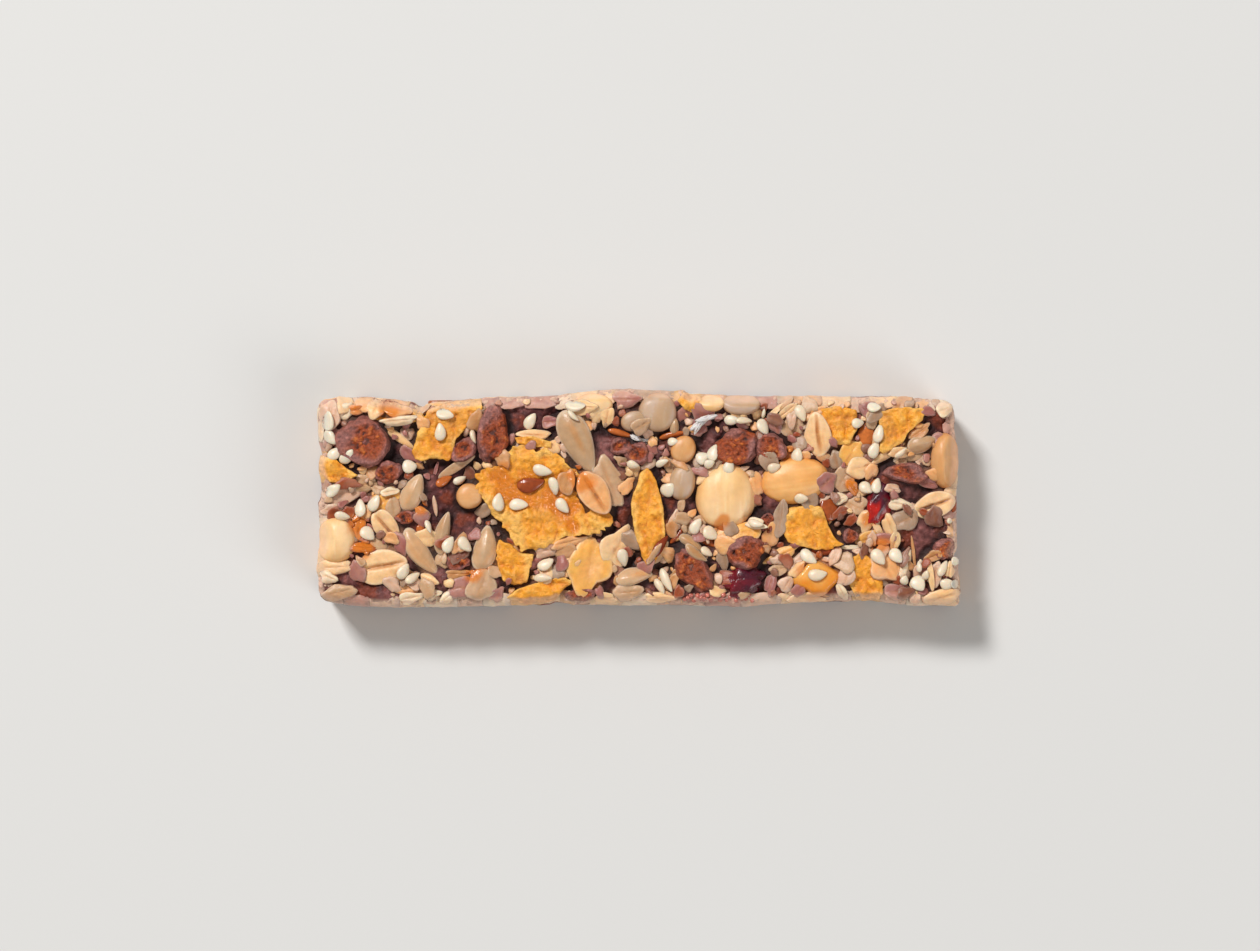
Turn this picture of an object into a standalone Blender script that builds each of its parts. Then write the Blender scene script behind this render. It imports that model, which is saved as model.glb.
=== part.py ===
"""A pressed granola bar, about 110 x 37 x 14 mm, lying flat, in metres with +Z up.

The bar is one mass of oats, seeds and binder with a flat base, pressed sides and an uneven top. Nuts, the larger
corn flakes, crisp fruit lumps, berry pieces and a piece of apricot sit in pockets of that mass, each a solid.
The origin is at the middle of the base, +X runs along the length and +Y towards the back edge.
"""

import math

import bmesh
import bpy
import numpy as np

MM = 0.001

# Driving dimensions of the bar, in millimetres
LENGTH = 110.0
WIDTH = 37.2
CORE_HEIGHT = 11.6
TOP_ROUND = 1.9
BASE_ROUND = 0.7
GAP = 0.3
PRESS = 0.25
SEED = 7

# How far each edge lies inside the LENGTH x WIDTH rectangle: (place along the edge, inset)
BACK_INSET = [
    (-54.7, 2.9), (-53.6, 2.0), (-50.9, 1.3), (-43.8, 1.5), (-38.7, 2.2), (-37.3, 3.2), (-36.0, 2.5),
    (-31.0, 2.0), (-23.7, 1.3), (-15.7, 1.2), (-6.4, 0.2), (-1.8, 0.0), (7.9, 0.2), (8.9, 0.8),
    (20.7, 1.2), (43.8, 1.2), (51.9, 1.9), (53.6, 3.0),
]
FRONT_INSET = [
    (-54.2, 2.0), (-51.4, 0.6), (-46.5, 0.2), (-40.4, 0.0), (-30.2, 0.1), (-15.0, 0.5), (-13.9, 1.0),
    (-11.2, 0.5), (6.9, 0.4), (18.0, 0.2), (22.0, 0.6), (31.7, 1.0), (39.8, 1.2), (46.0, 0.4), (54.6, 0.3),
]
LEFT_INSET = [
    (-16.6, 0.8), (-14.7, 0.1), (-8.0, 0.8), (-1.2, 0.5), (1.4, 1.1), (5.9, 0.5), (8.3, 1.1), (11.0, 0.5),
    (15.7, 0.3),
]
RIGHT_INSET = [
    (-18.3, 0.4), (-17.4, 0.0), (-14.2, 0.0), (-10.4, 0.3), (-9.3, 1.2), (-7.4, 0.4), (1.5, 0.6), (8.3, 0.3),
    (12.9, 0.7), (15.6, 1.4),
]

# Sizes of one piece of each kind: (length, width, thickness)
OAT = (7.4, 4.8, 1.5)
KERNEL = (9.4, 3.8, 2.2)
SESAME = (3.1, 1.9, 1.1)
FLAX = (4.4, 2.2, 1.2)
FLAKE_THICKNESS = 1.9

# Whole and cut nuts: (x, y, turn in degrees, length, width, thickness)
NUTS = {
    "whole_nut_middle": (15.0, 0.3, 90, 11.8, 10.4, 9.4),
    "whole_nut_right": (26.8, 3.0, 10, 12.0, 8.3, 8.2),
    "cut_nut_right": (52.6, 6.4, 90, 9.4, 5.0, 8.6),
    "cut_nut_left": (-51.3, -7.0, 90, 7.8, 6.6, 8.4),
}

# Crisp fruit lumps, berry pieces and a piece of apricot, in the same terms
FRUIT = {
    "fruit_crisp_left": (-46.7, 9.8, -20, 9.2, 8.3, 7.4),
    "fruit_crisp_back": (-24.5, 11.2, 90, 8.6, 4.6, 6.6),
    "fruit_crisp_front": (9.3, -12.2, -57, 9.0, 4.9, 6.6),
    "fruit_crisp_front_right": (18.2, -9.4, 10, 7.4, 5.6, 6.8),
    "fruit_crisp_back_right": (19.2, 9.0, 0, 11.8, 5.8, 6.6),
    "dark_berry": (17.6, -15.0, 5, 6.0, 4.0, 6.0),
    "red_berry": (40.7, -1.3, 75, 5.4, 3.1, 4.6),
    "apricot_piece": (30.4, -13.4, 0, 7.8, 6.0, 5.0),
}

# Outlines of the larger corn flakes, each a curled sheet
FLAKES = {
    "corn_flake_large": [
        (-28.1, 3.8), (-26.6, 5.1), (-23.8, 5.7), (-22.0, 7.9), (-18.9, 8.8), (-15.7, 8.7), (-13.0, 7.5),
        (-11.2, 5.3), (-7.2, 2.4), (-4.1, -2.0), (-3.3, -3.2), (-4.1, -5.3), (-7.0, -5.9), (-10.4, -5.9),
        (-13.2, -6.9), (-16.9, -9.0), (-19.9, -8.8), (-21.8, -7.0), (-23.2, -3.9), (-25.0, -2.4), (-26.2, 0.6),
    ],
    "corn_flake_back": [
        (-38.5, 7.9), (-37.2, 11.6), (-35.8, 15.0), (-30.9, 16.2), (-27.0, 16.3), (-27.6, 13.6), (-28.8, 12.0),
        (-30.9, 9.9), (-31.9, 6.5), (-33.6, 6.0), (-35.8, 6.9),
    ],
    "corn_flake_upright": [
        (0.4, 4.8), (1.8, 5.5), (3.1, 3.1), (4.3, -1.1), (4.8, -5.4), (3.0, -10.5), (2.0, -11.8), (0.9, -10.5),
        (-0.6, -5.4), (-1.3, -1.1),
    ],
    "corn_flake_right": [
        (24.6, -3.7), (25.9, -2.2), (29.3, -2.1), (31.4, -2.4), (32.4, -4.5), (33.7, -7.1), (35.4, -7.9),
        (32.7, -8.6), (28.5, -8.4), (25.2, -7.4),
    ],
    "corn_flake_corner": [
        (41.2, 14.9), (45.5, 15.4), (49.2, 14.9), (47.7, 12.5), (44.6, 9.9), (41.9, 7.9), (40.9, 10.8),
    ],
}

# Outlines of the smaller flakes that are fused into the bar
SMALL_FLAKES = [
    [(30.5, 15.0), (33.6, 15.7), (37.1, 14.7), (37.1, 11.6), (34.9, 9.3), (32.0, 9.9)],
    [(35.8, -10.5), (38.2, -9.1), (41.2, -11.3), (41.9, -15.6), (41.2, -17.4), (37.5, -17.3), (36.0, -14.7)],
    [(-24.1, -9.6), (-22.4, -9.5), (-20.3, -10.3), (-18.0, -11.2), (-18.9, -14.3), (-20.9, -14.5), (-23.2, -12.9)],
    [(-22.0, -17.3), (-20.0, -15.6), (-15.7, -14.6), (-11.4, -14.2), (-13.6, -17.7), (-18.3, -18.0)],
    [(-54.5, 5.9), (-51.4, 6.2), (-48.4, 5.2), (-49.7, 3.5), (-53.1, 2.8)],
    [(6.7, 16.7), (7.9, 18.0), (10.6, 17.5), (11.3, 16.1), (9.8, 14.5), (7.9, 15.2)],
]

# The larger oats and sunflower kernels on the top: (x, y, turn in degrees)
TOP_OATS = [
    (-42.9, -4.8, -50), (-43.5, -11.3, 12), (-27.5, -14.9, 5), (-8.1, -11.1, 80), (30.7, 10.8, 90), (50.8, -1.2, 19),
    (36.7, 7.6, 10), (42.4, -6.2, 20), (-47.3, 0.4, 20), (-3.4, -7.4, 80), (26.9, 13.6, 70),
]
TOP_KERNELS = [
    (-38.4, 0.9, 65), (-37.4, -9.3, -55), (-33.4, -6.2, 80), (-25.8, -8.5, 75), (-10.2, 9.8, -65), (0.3, -13.7, 12),
    (47.9, 11.1, 38), (3.9, -9.4, 53), (-0.9, 13.0, 15), (20.9, -4.0, 30), (6.4, 1.9, 60),
]

# How many pieces the rules below scatter
TOP_SESAME_COUNT = 36
TOP_FLAX_COUNT = 8
SMALL_OAT_COUNT = 14
SIDE_OAT_COUNT = 20
SIDE_KERNEL_COUNT = 10

# Columns and rows of the core's top, closer together at the edges, where the mould rounds it
COLUMNS = np.concatenate([[0.0, 0.5, 1.1, TOP_ROUND], np.linspace(4.5, LENGTH / 2, 14)])
ROWS = np.concatenate([[0.0, 0.5, 1.1, TOP_ROUND], np.linspace(4.5, WIDTH / 2, 5)])


def edge_line(insets, half, sign, along):
    """Where an edge lies at each place along it: the rectangle's side, less its inset."""
    places, depths = np.array(insets).T
    return sign * (half - np.interp(along, places, depths))


def back_edge(x):
    return edge_line(BACK_INSET, WIDTH / 2, 1, x)


def front_edge(x):
    return edge_line(FRONT_INSET, WIDTH / 2, -1, x)


def left_edge(y):
    return edge_line(LEFT_INSET, LENGTH / 2, -1, y)


def right_edge(y):
    return edge_line(RIGHT_INSET, LENGTH / 2, 1, y)


def top_height(x, y):
    """The core's top away from its edges: a level with three crossed waves of uneven length."""
    waves = 0.35 * np.sin(0.31 * x + 0.9) * np.cos(0.27 * y)
    waves = waves + 0.25 * np.sin(0.74 * x - 0.41 * y + 2.0)
    return CORE_HEIGHT + waves + 0.2 * np.cos(0.23 * x + 0.88 * y)


def rounding(distance, radius):
    """How far a quarter round of this radius has dropped at this distance from its edge."""
    inside = np.clip(distance, 0.0, radius)
    return radius - np.sqrt(radius**2 - (radius - inside) ** 2)


def new_material(name, colour, roughness):
    made = bpy.data.materials.new(name)
    made.use_nodes = True
    shader = made.node_tree.nodes["Principled BSDF"]
    shader.inputs["Base Color"].default_value = (*colour, 1.0)
    shader.inputs["Roughness"].default_value = roughness
    shader.inputs["Metallic"].default_value = 0.0
    made.diffuse_color = (*colour, 1.0)
    return made


def new_object(name, points, faces, material, collection=None):
    """An object from points in millimetres, its place in its mesh."""
    mesh = bpy.data.meshes.new(name)
    mesh.from_pydata((np.asarray(points) * MM).tolist(), [], faces)
    if material:
        mesh.materials.append(material)
    mesh.update()
    made = bpy.data.objects.new(name, mesh)
    (collection or bpy.context.scene.collection).objects.link(made)
    return made


def ring_faces(rings, sides):
    """Faces of a closed form: point 0 is its lower pole, then rings from below upwards, then its upper pole."""
    last = 1 + rings * sides
    faces = []
    for side in range(sides):
        after = (side + 1) % sides
        faces.append((0, 1 + after, 1 + side))
        faces.append((last, last - sides + side, last - sides + after))
        for ring in range(rings - 1):
            low = 1 + ring * sides
            faces.append((low + side, low + after, low + sides + after, low + sides + side))
    return faces


def closed_points(rings):
    """The points that ring_faces expects, with each pole at the middle of its nearest ring, a little beyond it."""
    low = rings[0].mean(axis=0)
    high = rings[-1].mean(axis=0)
    low[2] = rings[0][:, 2].min() - 0.02
    high[2] = rings[-1][:, 2].max() + 0.02
    return np.vstack([low, rings.reshape(-1, 3), high])


def ellipsoid_rings(size, sides, rings, point=0.0, lumps=None):
    """Rings of an ellipsoid that narrows by POINT towards +X. LUMPS draws the unevenness of a broken piece."""
    level = np.linspace(-1, 1, rings + 2)[1:-1] * math.pi / 2
    around = np.arange(sides) * 2 * math.pi / sides
    level, around = np.meshgrid(level, around, indexing="ij")
    reach = np.cos(level)
    if lumps is not None:
        reach = reach * (1 + lumps.uniform(-0.12, 0.12, reach.shape))
    x = reach * np.cos(around)
    y = reach * np.sin(around) * (1 - point * np.cos(around))
    return np.stack([x * size[0] / 2, y * size[1] / 2, np.sin(level) * size[2] / 2], axis=-1)


def placed(rings, x, y, z, turn, tilt=0.0):
    """Rings tilted about their own length, turned about the vertical, both in degrees, and moved to their place."""
    lean = math.radians(tilt)
    angle = math.radians(turn)
    px, py, pz = np.moveaxis(rings, -1, 0)
    py, pz = py * math.cos(lean) - pz * math.sin(lean), py * math.sin(lean) + pz * math.cos(lean)
    across = px * math.cos(angle) - py * math.sin(angle)
    along = px * math.sin(angle) + py * math.cos(angle)
    return np.stack([across + x, along + y, pz + z], axis=-1)


def flake_rings(outline, sides, thickness, base, curl):
    """A curled sheet: its outline drawn in towards the middle in five rings, the middle raised by CURL."""
    corners = np.array(outline + outline[:1])
    steps = np.hypot(*np.diff(corners, axis=0).T)
    length = np.concatenate([[0.0], np.cumsum(steps)])
    evenly = np.arange(sides) * length[-1] / sides
    rim = np.stack([np.interp(evenly, length, corners[:, axis]) for axis in (0, 1)], axis=-1)
    if np.cross(rim[0] - rim.mean(axis=0), rim[1] - rim.mean(axis=0)) < 0:
        rim = rim[::-1]
    reach = np.array([0.5, 0.93, 1.0, 0.93, 0.5])[:, None, None]
    level = np.array([-1.0, -0.8, 0.0, 0.8, 1.0])[:, None] * thickness / 2
    plan = rim.mean(axis=0) + (rim - rim.mean(axis=0)) * reach
    crinkle = 0.22 * np.sin(2.1 * plan[..., 0] + 1.7 * plan[..., 1]) * np.cos(1.3 * plan[..., 1])
    height = base + level + curl * (1 - reach[..., 0] ** 2) + crinkle
    return np.concatenate([plan, height[..., None]], axis=-1)


def plan_grid():
    """The plan of the bar as columns and rows that run from edge to edge, with where each lies from 0 to 1."""
    east = np.concatenate([COLUMNS - LENGTH / 2, (LENGTH / 2 - COLUMNS)[-2::-1]])
    north = np.concatenate([ROWS - WIDTH / 2, (WIDTH / 2 - ROWS)[-2::-1]])
    s = (east / LENGTH + 0.5)[:, None]
    t = (north / WIDTH + 0.5)[None, :]
    x = left_edge(north)[None, :] * (1 - s) + right_edge(north)[None, :] * s
    y = front_edge(x) * (1 - t) + back_edge(x) * t
    return x, y, s, t


def rim_of(columns, rows):
    """Indices of the grid's border, anticlockwise from its first corner."""
    border = [i * rows for i in range(columns - 1)]
    border += [(columns - 1) * rows + j for j in range(rows - 1)]
    border += [i * rows + rows - 1 for i in range(columns - 1, 0, -1)]
    return border + list(range(rows - 1, 0, -1))


def make_mould():
    """A hidden prism PRESS outside the bar's edges: what reaches past it is pressed flat, here cut flush."""
    x, y = plan_grid()[:2]
    border = rim_of(*x.shape)
    wider = np.stack([x * (1 + 2 * PRESS / LENGTH), y * (1 + 2 * PRESS / WIDTH)], axis=-1).reshape(-1, 2)[border]
    low, high = (np.column_stack([wider, np.full(len(wider), level)]) for level in (-5.0, 3 * CORE_HEIGHT))
    count = len(border)
    faces = [(k, (k + 1) % count, count + (k + 1) % count, count + k) for k in range(count)]
    faces += [tuple(range(count))[::-1], tuple(range(count, 2 * count))]
    mould = new_object("mould", np.vstack([low, high]), faces, None)
    mould.hide_render = True
    mould.display_type = "WIRE"
    return mould


def make_core(material):
    """The binder with its finest grain: a flat base, pressed walls, a rounded top edge and an uneven top."""
    x, y, s, t = plan_grid()
    from_edge = np.minimum(*np.broadcast_arrays(LENGTH * np.minimum(s, 1 - s), WIDTH * np.minimum(t, 1 - t)))
    z = top_height(x, y) - rounding(from_edge, TOP_ROUND)
    points = [*np.stack([x, y, z], axis=-1).reshape(-1, 3)]
    columns, rows = x.shape
    faces = []
    for i in range(columns - 1):
        for j in range(rows - 1):
            a = i * rows + j
            faces.append((a, a + rows, a + rows + 1, a + 1))
    rim = rim_of(columns, rows)
    for height, inset in ((CORE_HEIGHT * 0.5, 0.0), (BASE_ROUND, 0.0), (0.0, BASE_ROUND * 0.7)):
        below = []
        for index in rim:
            px, py = points[index][:2]
            inwards = np.array([px * (1 - 2 * inset / LENGTH), py * (1 - 2 * inset / WIDTH), height])
            below.append(len(points))
            points.append(inwards)
        for k in range(len(rim)):
            after = (k + 1) % len(rim)
            faces.append((rim[k], below[k], below[after], rim[after]))
        rim = below
    faces.append(tuple(rim[::-1]))
    return new_object("bar", points, faces, material)


def plan_reach(name):
    """(x, y, radius) of the circle round a piece that has its own pocket."""
    if name in FLAKES:
        outline = np.array(FLAKES[name])
        middle = outline.mean(axis=0)
        return (*middle, np.hypot(*(outline - middle).T).mean())
    x, y, _, long, wide, _ = {**NUTS, **FRUIT}[name]
    return x, y, (long + wide) / 4


def scatter(count, reach, taken, draw):
    """COUNT places over the top, each clear of those taken, which grow by the new ones."""
    places = []
    while len(places) < count:
        x = draw.uniform(4 - LENGTH / 2, LENGTH / 2 - 4)
        y = draw.uniform(3 - WIDTH / 2, WIDTH / 2 - 3)
        if all(math.hypot(x - a, y - b) > reach + radius for a, b, radius in taken):
            taken.append((x, y, reach))
            places.append((x, y, draw.uniform(0, 180)))
    return places


def top_pieces(draw):
    """The small pieces that lie in the top, as (rings, points per ring)."""
    taken = [plan_reach(name) for name in (*FLAKES, *NUTS, *FRUIT)]
    taken += [(*np.array(outline).mean(axis=0), 2.0) for outline in SMALL_FLAKES]
    taken += [(x, y, 2.4) for x, y, _ in TOP_OATS + TOP_KERNELS]
    for outline in SMALL_FLAKES:
        middle = np.array(outline).mean(axis=0)
        yield flake_rings(outline, 12, FLAKE_THICKNESS, top_height(*middle), 0.3)
    for x, y, turn in TOP_OATS:
        yield placed(ellipsoid_rings(OAT, 8, 3), x, y, top_height(x, y) + 0.7, turn, draw.uniform(-16, 16))
    for x, y, turn in TOP_KERNELS:
        kernel = ellipsoid_rings(KERNEL, 8, 3, 0.35)
        yield placed(kernel, x, y, top_height(x, y) + 0.7, turn, draw.uniform(-20, 20))
    for x, y, turn in scatter(SMALL_OAT_COUNT, 1.5, taken, draw):
        small = ellipsoid_rings([0.75 * side for side in OAT], 8, 3)
        yield placed(small, x, y, top_height(x, y) + 0.3, turn, draw.uniform(-35, 35))
    for x, y, turn in scatter(TOP_FLAX_COUNT, 0.9, taken, draw):
        yield placed(ellipsoid_rings(FLAX, 6, 2, 0.3), x, y, top_height(x, y) + 0.3, turn)
    for x, y, turn in scatter(TOP_SESAME_COUNT, 0.55, taken, draw):
        yield placed(ellipsoid_rings(SESAME, 6, 2, 0.3), x, y, top_height(x, y) + 0.35, turn)


def side_pieces(draw):
    """Oats and kernels pressed into the walls, evenly round the bar, each standing on its edge along its wall."""
    around = 2 * (LENGTH + WIDTH)
    kinds = [(OAT, 0.0)] * SIDE_OAT_COUNT + [(KERNEL, 0.35)] * SIDE_KERNEL_COUNT
    for place, index in enumerate(draw.permutation(len(kinds))):
        size, point = kinds[index]
        along = (place + draw.uniform(0.2, 0.8)) * around / len(kinds)
        height = draw.uniform(3.0, CORE_HEIGHT - 3.2)
        lying = ellipsoid_rings(size, 8, 3, point)
        half = min(size[0] / 2 + 1.5, 6.0)
        if along < 2 * LENGTH:
            back = along >= LENGTH
            x = float(np.clip(along % LENGTH - LENGTH / 2, half - LENGTH / 2, LENGTH / 2 - half))
            yield placed(lying, x, float(back_edge(x) if back else front_edge(x)), height, 0, 90)
        else:
            right = along >= 2 * LENGTH + WIDTH
            y = float(np.clip((along - 2 * LENGTH) % WIDTH - WIDTH / 2, half - WIDTH / 2, WIDTH / 2 - half))
            yield placed(lying, float(right_edge(y) if right else left_edge(y)), y, height, 90, 90)


def boolean(target, operation, other=None, collection=None):
    """One Boolean, applied at once. Seeds this small and this many leave open edges under the exact solver."""
    modifier = target.modifiers.new(operation.lower(), "BOOLEAN")
    modifier.operation = operation
    modifier.solver = "MANIFOLD"
    if collection:
        modifier.operand_type = "COLLECTION"
        modifier.collection = collection
    else:
        modifier.object = other
    bpy.context.view_layer.update()
    done = bpy.data.meshes.new_from_object(target.evaluated_get(bpy.context.evaluated_depsgraph_get()))
    target.modifiers.clear()
    target.data = done


def keep_largest(target):
    """Leaves the one largest shell, so that a scrap cut loose or a hollow sealed inside goes."""
    form = bmesh.new()
    form.from_mesh(target.data)
    left = set(form.verts)
    shells = []
    while left:
        shell = {left.pop()}
        edge = list(shell)
        while edge:
            here = edge.pop()
            near = {link.other_vert(here) for link in here.link_edges} & left
            shell |= near
            left -= near
            edge += near
        shells.append(shell)
    largest = max(shells, key=len)
    bmesh.ops.delete(form, geom=[vertex for vertex in form.verts if vertex not in largest], context="VERTS")
    form.to_mesh(target.data)
    form.free()


def grown(source, by):
    """A hidden copy of a piece, swollen all round, which cuts the pocket that the piece sits in."""
    form = bmesh.new()
    form.from_mesh(source.data)
    bmesh.ops.recalc_face_normals(form, faces=form.faces)
    for vertex in form.verts:
        vertex.co = vertex.co + vertex.normal * by * MM
    mesh = bpy.data.meshes.new(source.name + "_pocket")
    form.to_mesh(mesh)
    form.free()
    cutter = bpy.data.objects.new(mesh.name, mesh)
    cutter.hide_render = True
    cutter.display_type = "WIRE"
    bpy.context.scene.collection.objects.link(cutter)
    return cutter


def large_pieces(draw):
    """The nuts, fruit, berry and apricot pieces and larger flakes, each an object of its own."""
    nut = new_material("blanched nut", (0.90, 0.60, 0.33), 0.45)
    crisp = new_material("fruit crisp", (0.29, 0.05, 0.015), 0.6)
    berry = new_material("red berry", (0.25, 0.005, 0.003), 0.25)
    apricot = new_material("dried apricot", (0.78, 0.30, 0.07), 0.35)
    corn = new_material("corn flake", (0.86, 0.38, 0.05), 0.55)
    made = []
    for name, (x, y, turn, *size) in NUTS.items():
        rings = placed(ellipsoid_rings(size, 14, 6, 0.08), x, y, CORE_HEIGHT + 2.0 - size[2] / 2, turn)
        made.append(new_object(name, closed_points(rings), ring_faces(6, 14), nut))
    for name, (x, y, turn, *size) in FRUIT.items():
        rings = placed(ellipsoid_rings(size, 12, 5, 0.05, draw), x, y, CORE_HEIGHT + 1.3 - size[2] / 2, turn)
        dressed = {"dark_berry": berry, "red_berry": berry, "apricot_piece": apricot}.get(name, crisp)
        made.append(new_object(name, closed_points(rings), ring_faces(5, 12), dressed))
    for name, outline in FLAKES.items():
        rings = flake_rings(outline, 22, FLAKE_THICKNESS, CORE_HEIGHT + 0.5, 0.5)
        made.append(new_object(name, closed_points(rings), ring_faces(5, 22), corn))
    return made


def main():
    for item in list(bpy.data.objects):
        bpy.data.objects.remove(item)
    draw = np.random.default_rng(SEED)
    binder = new_material("binder and oats", (0.42, 0.20, 0.12), 0.5)
    bar = make_core(binder)
    fused = bpy.data.collections.new("fused pieces")
    bpy.context.scene.collection.children.link(fused)
    for number, rings in enumerate([*top_pieces(draw), *side_pieces(draw)]):
        faces = ring_faces(rings.shape[0], rings.shape[1])
        new_object(f"fused_{number:03d}", closed_points(rings), faces, binder, fused)
    boolean(bar, "UNION", collection=fused)
    for item in list(fused.objects):
        bpy.data.objects.remove(item)
    bpy.data.collections.remove(fused)
    mould = make_mould()
    boolean(bar, "INTERSECT", other=mould)
    for piece in large_pieces(draw):
        boolean(piece, "INTERSECT", other=mould)
        cutter = grown(piece, GAP + 0.1)
        boolean(bar, "DIFFERENCE", other=cutter)
        bpy.data.objects.remove(cutter)
    bpy.data.objects.remove(mould)
    keep_largest(bar)


main()
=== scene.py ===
import itertools
import math

import bpy
import numpy as np
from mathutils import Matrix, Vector


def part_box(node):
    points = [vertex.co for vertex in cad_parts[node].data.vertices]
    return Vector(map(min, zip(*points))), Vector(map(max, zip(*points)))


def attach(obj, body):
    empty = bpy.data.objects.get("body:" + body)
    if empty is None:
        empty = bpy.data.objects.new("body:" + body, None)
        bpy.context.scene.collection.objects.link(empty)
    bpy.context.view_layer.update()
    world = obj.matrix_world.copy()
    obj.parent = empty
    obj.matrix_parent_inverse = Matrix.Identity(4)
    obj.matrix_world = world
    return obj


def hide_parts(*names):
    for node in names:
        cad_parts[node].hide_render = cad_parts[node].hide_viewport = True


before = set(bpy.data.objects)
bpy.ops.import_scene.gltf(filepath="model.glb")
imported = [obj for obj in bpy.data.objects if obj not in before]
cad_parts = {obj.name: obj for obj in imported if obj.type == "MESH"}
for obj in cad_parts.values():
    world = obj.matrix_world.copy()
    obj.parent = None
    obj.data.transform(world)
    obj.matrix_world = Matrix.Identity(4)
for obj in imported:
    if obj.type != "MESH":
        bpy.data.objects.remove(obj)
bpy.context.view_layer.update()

# The mould: a long tray into which the warm mass is pressed. It gives the bar its flat base, its walls and the
# rounded edge between walls and top, and what lies against it comes out flat.
MM = 0.001
CORE_HEIGHT = 11.6
MASS_HEIGHT = CORE_HEIGHT - 0.3
TOP_ROUND = 1.9
BASE_LEVEL = 0.2
BASE_ROUND = 0.7
RAGGED = 0.4
CELL = 0.2
bar_low, bar_high = (np.array(corner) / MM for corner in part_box("bar"))
LENGTH, WIDTH = (bar_high - bar_low)[:2] - RAGGED
WALL_STRAIGHT = MASS_HEIGHT - TOP_ROUND
BACK_INSET = [
    (-54.0, 2.0), (-50.9, 1.3), (-43.8, 1.5), (-38.7, 2.2), (-37.3, 3.2), (-36.0, 2.5), (-31.0, 2.0),
    (-23.7, 1.3), (-15.7, 1.2), (-6.4, 0.2), (-1.8, 0.0), (7.9, 0.2), (8.9, 0.8), (20.7, 1.2), (43.8, 1.2),
    (51.9, 1.7),
]
FRONT_INSET = [
    (-54.0, 0.9), (-51.4, 0.6), (-46.5, 0.2), (-40.4, 0.0), (-30.2, 0.1), (-15.0, 0.5), (-13.9, 1.0),
    (-11.2, 0.5), (6.9, 0.4), (18.0, 0.1), (22.0, 0.6), (31.7, 1.0), (39.8, 1.2), (46.0, 0.4), (54.6, 0.3),
]
LEFT_INSET = [
    (-16.6, 0.5), (-14.7, 0.1), (-8.0, 0.8), (-1.2, 0.5), (1.4, 1.1), (5.9, 0.5), (8.3, 1.1), (11.0, 0.5),
    (15.7, 0.3),
]
RIGHT_INSET = [
    (-17.4, 0.0), (-14.2, 0.0), (-10.4, 0.3), (-9.3, 1.2), (-7.4, 0.4), (1.5, 0.6), (8.3, 0.3), (12.9, 0.6),
    (15.6, 0.9),
]
CORNER_ROUND = {"back_left": 1.3, "back_right": 2.6, "front_left": 2.4, "front_right": 0.8}
PLUM, MAUVE = np.array((0.085, 0.019, 0.018)), np.array((0.250, 0.088, 0.078))
RUSTY, CREVICE_SHADE = np.array((0.23, 0.042, 0.014)), np.array((0.010, 0.002, 0.002))
MILKY_SHEEN = np.array((0.86, 0.55, 0.40))
HASH_WAY, HASH_SCALE = (127.1, 311.7, 74.7), 43758.5453


def uneven(x, y, z, size, seed=0):
    """Smooth noise from -1 to 1: random values at the corners of cubes of this size, blended along an S-curve."""
    place = np.stack(np.broadcast_arrays(x, y, z), axis=-1) / size + 31.7 * (seed + 1)
    cell = np.floor(place)
    part = place - cell
    part = part * part * (3 - 2 * part)
    total = 0.0
    for corner in itertools.product((0, 1), repeat=3):
        value = np.sin((cell + corner) @ HASH_WAY) * HASH_SCALE
        total = total + (value - np.floor(value)) * np.prod(np.where(corner, part, 1 - part), axis=-1)
    return 2 * total - 1


def ramp(value, start, end):
    """0 before START, 1 after END, and an S-curve between them."""
    share = np.clip((value - start) / (end - start), 0, 1)
    return share * share * (3 - 2 * share)


def mix(first, second, share):
    """One colour or point turned into another by a share from 0 to 1 at each place."""
    share = np.asarray(share)[..., None]
    return first * (1 - share) + second * share


def round_off(distance, radius):
    """How far a quarter round of this radius has dropped at this distance from its edge."""
    inside = np.clip(distance, 0.0, radius)
    return radius - np.sqrt(radius**2 - (radius - inside) ** 2)


def edge_at(insets, half, along, seed):
    """An edge's distance from the middle: half the side, less its inset and a fine raggedness."""
    places, depths = np.array(insets).T
    ragged = 0.12 * uneven(along, seed, 0.0, 2.3) + 0.10 * uneven(along, seed, 5.0, 0.8)
    return half - np.interp(along, places, depths) - ragged


def back_edge(x):
    corners = round_off(x + LENGTH / 2 - 0.4, CORNER_ROUND["back_left"])
    return edge_at(BACK_INSET, WIDTH / 2, x, 1) - corners - round_off(LENGTH / 2 - 0.9 - x, CORNER_ROUND["back_right"])


def front_edge(x):
    corners = round_off(x + LENGTH / 2 - 0.5, CORNER_ROUND["front_left"])
    corners = corners + round_off(LENGTH / 2 - 0.1 - x, CORNER_ROUND["front_right"])
    return corners - edge_at(FRONT_INSET, WIDTH / 2, x, 2)


def left_edge(y):
    return -edge_at(LEFT_INSET, LENGTH / 2, y, 3)


def right_edge(y):
    return edge_at(RIGHT_INSET, LENGTH / 2, y, 4)


def from_edge(x, y):
    """How far inside the bar's nearest edge a place lies."""
    return np.minimum.reduce([x - left_edge(y), right_edge(y) - x, y - front_edge(x), back_edge(x) - y])


def mass_top(x, y):
    """Height of the binder's top: a level with three crossed waves and two sizes of lump, rounded at the edges."""
    waves = 0.35 * np.sin(0.31 * x + 0.9) * np.cos(0.27 * y) + 0.25 * np.sin(0.74 * x - 0.41 * y + 2.0)
    waves = waves + 0.2 * np.cos(0.23 * x + 0.88 * y)
    lumps = 0.5 * uneven(x, y, 0.0, 3.1, 1) + 0.3 * uneven(x, y, 0.0, 1.4, 2)
    inside = ramp(from_edge(x, y), 0.4, 3.0)
    return MASS_HEIGHT + (waves + lumps - 0.4) * inside - round_off(from_edge(x, y), TOP_ROUND)


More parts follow.
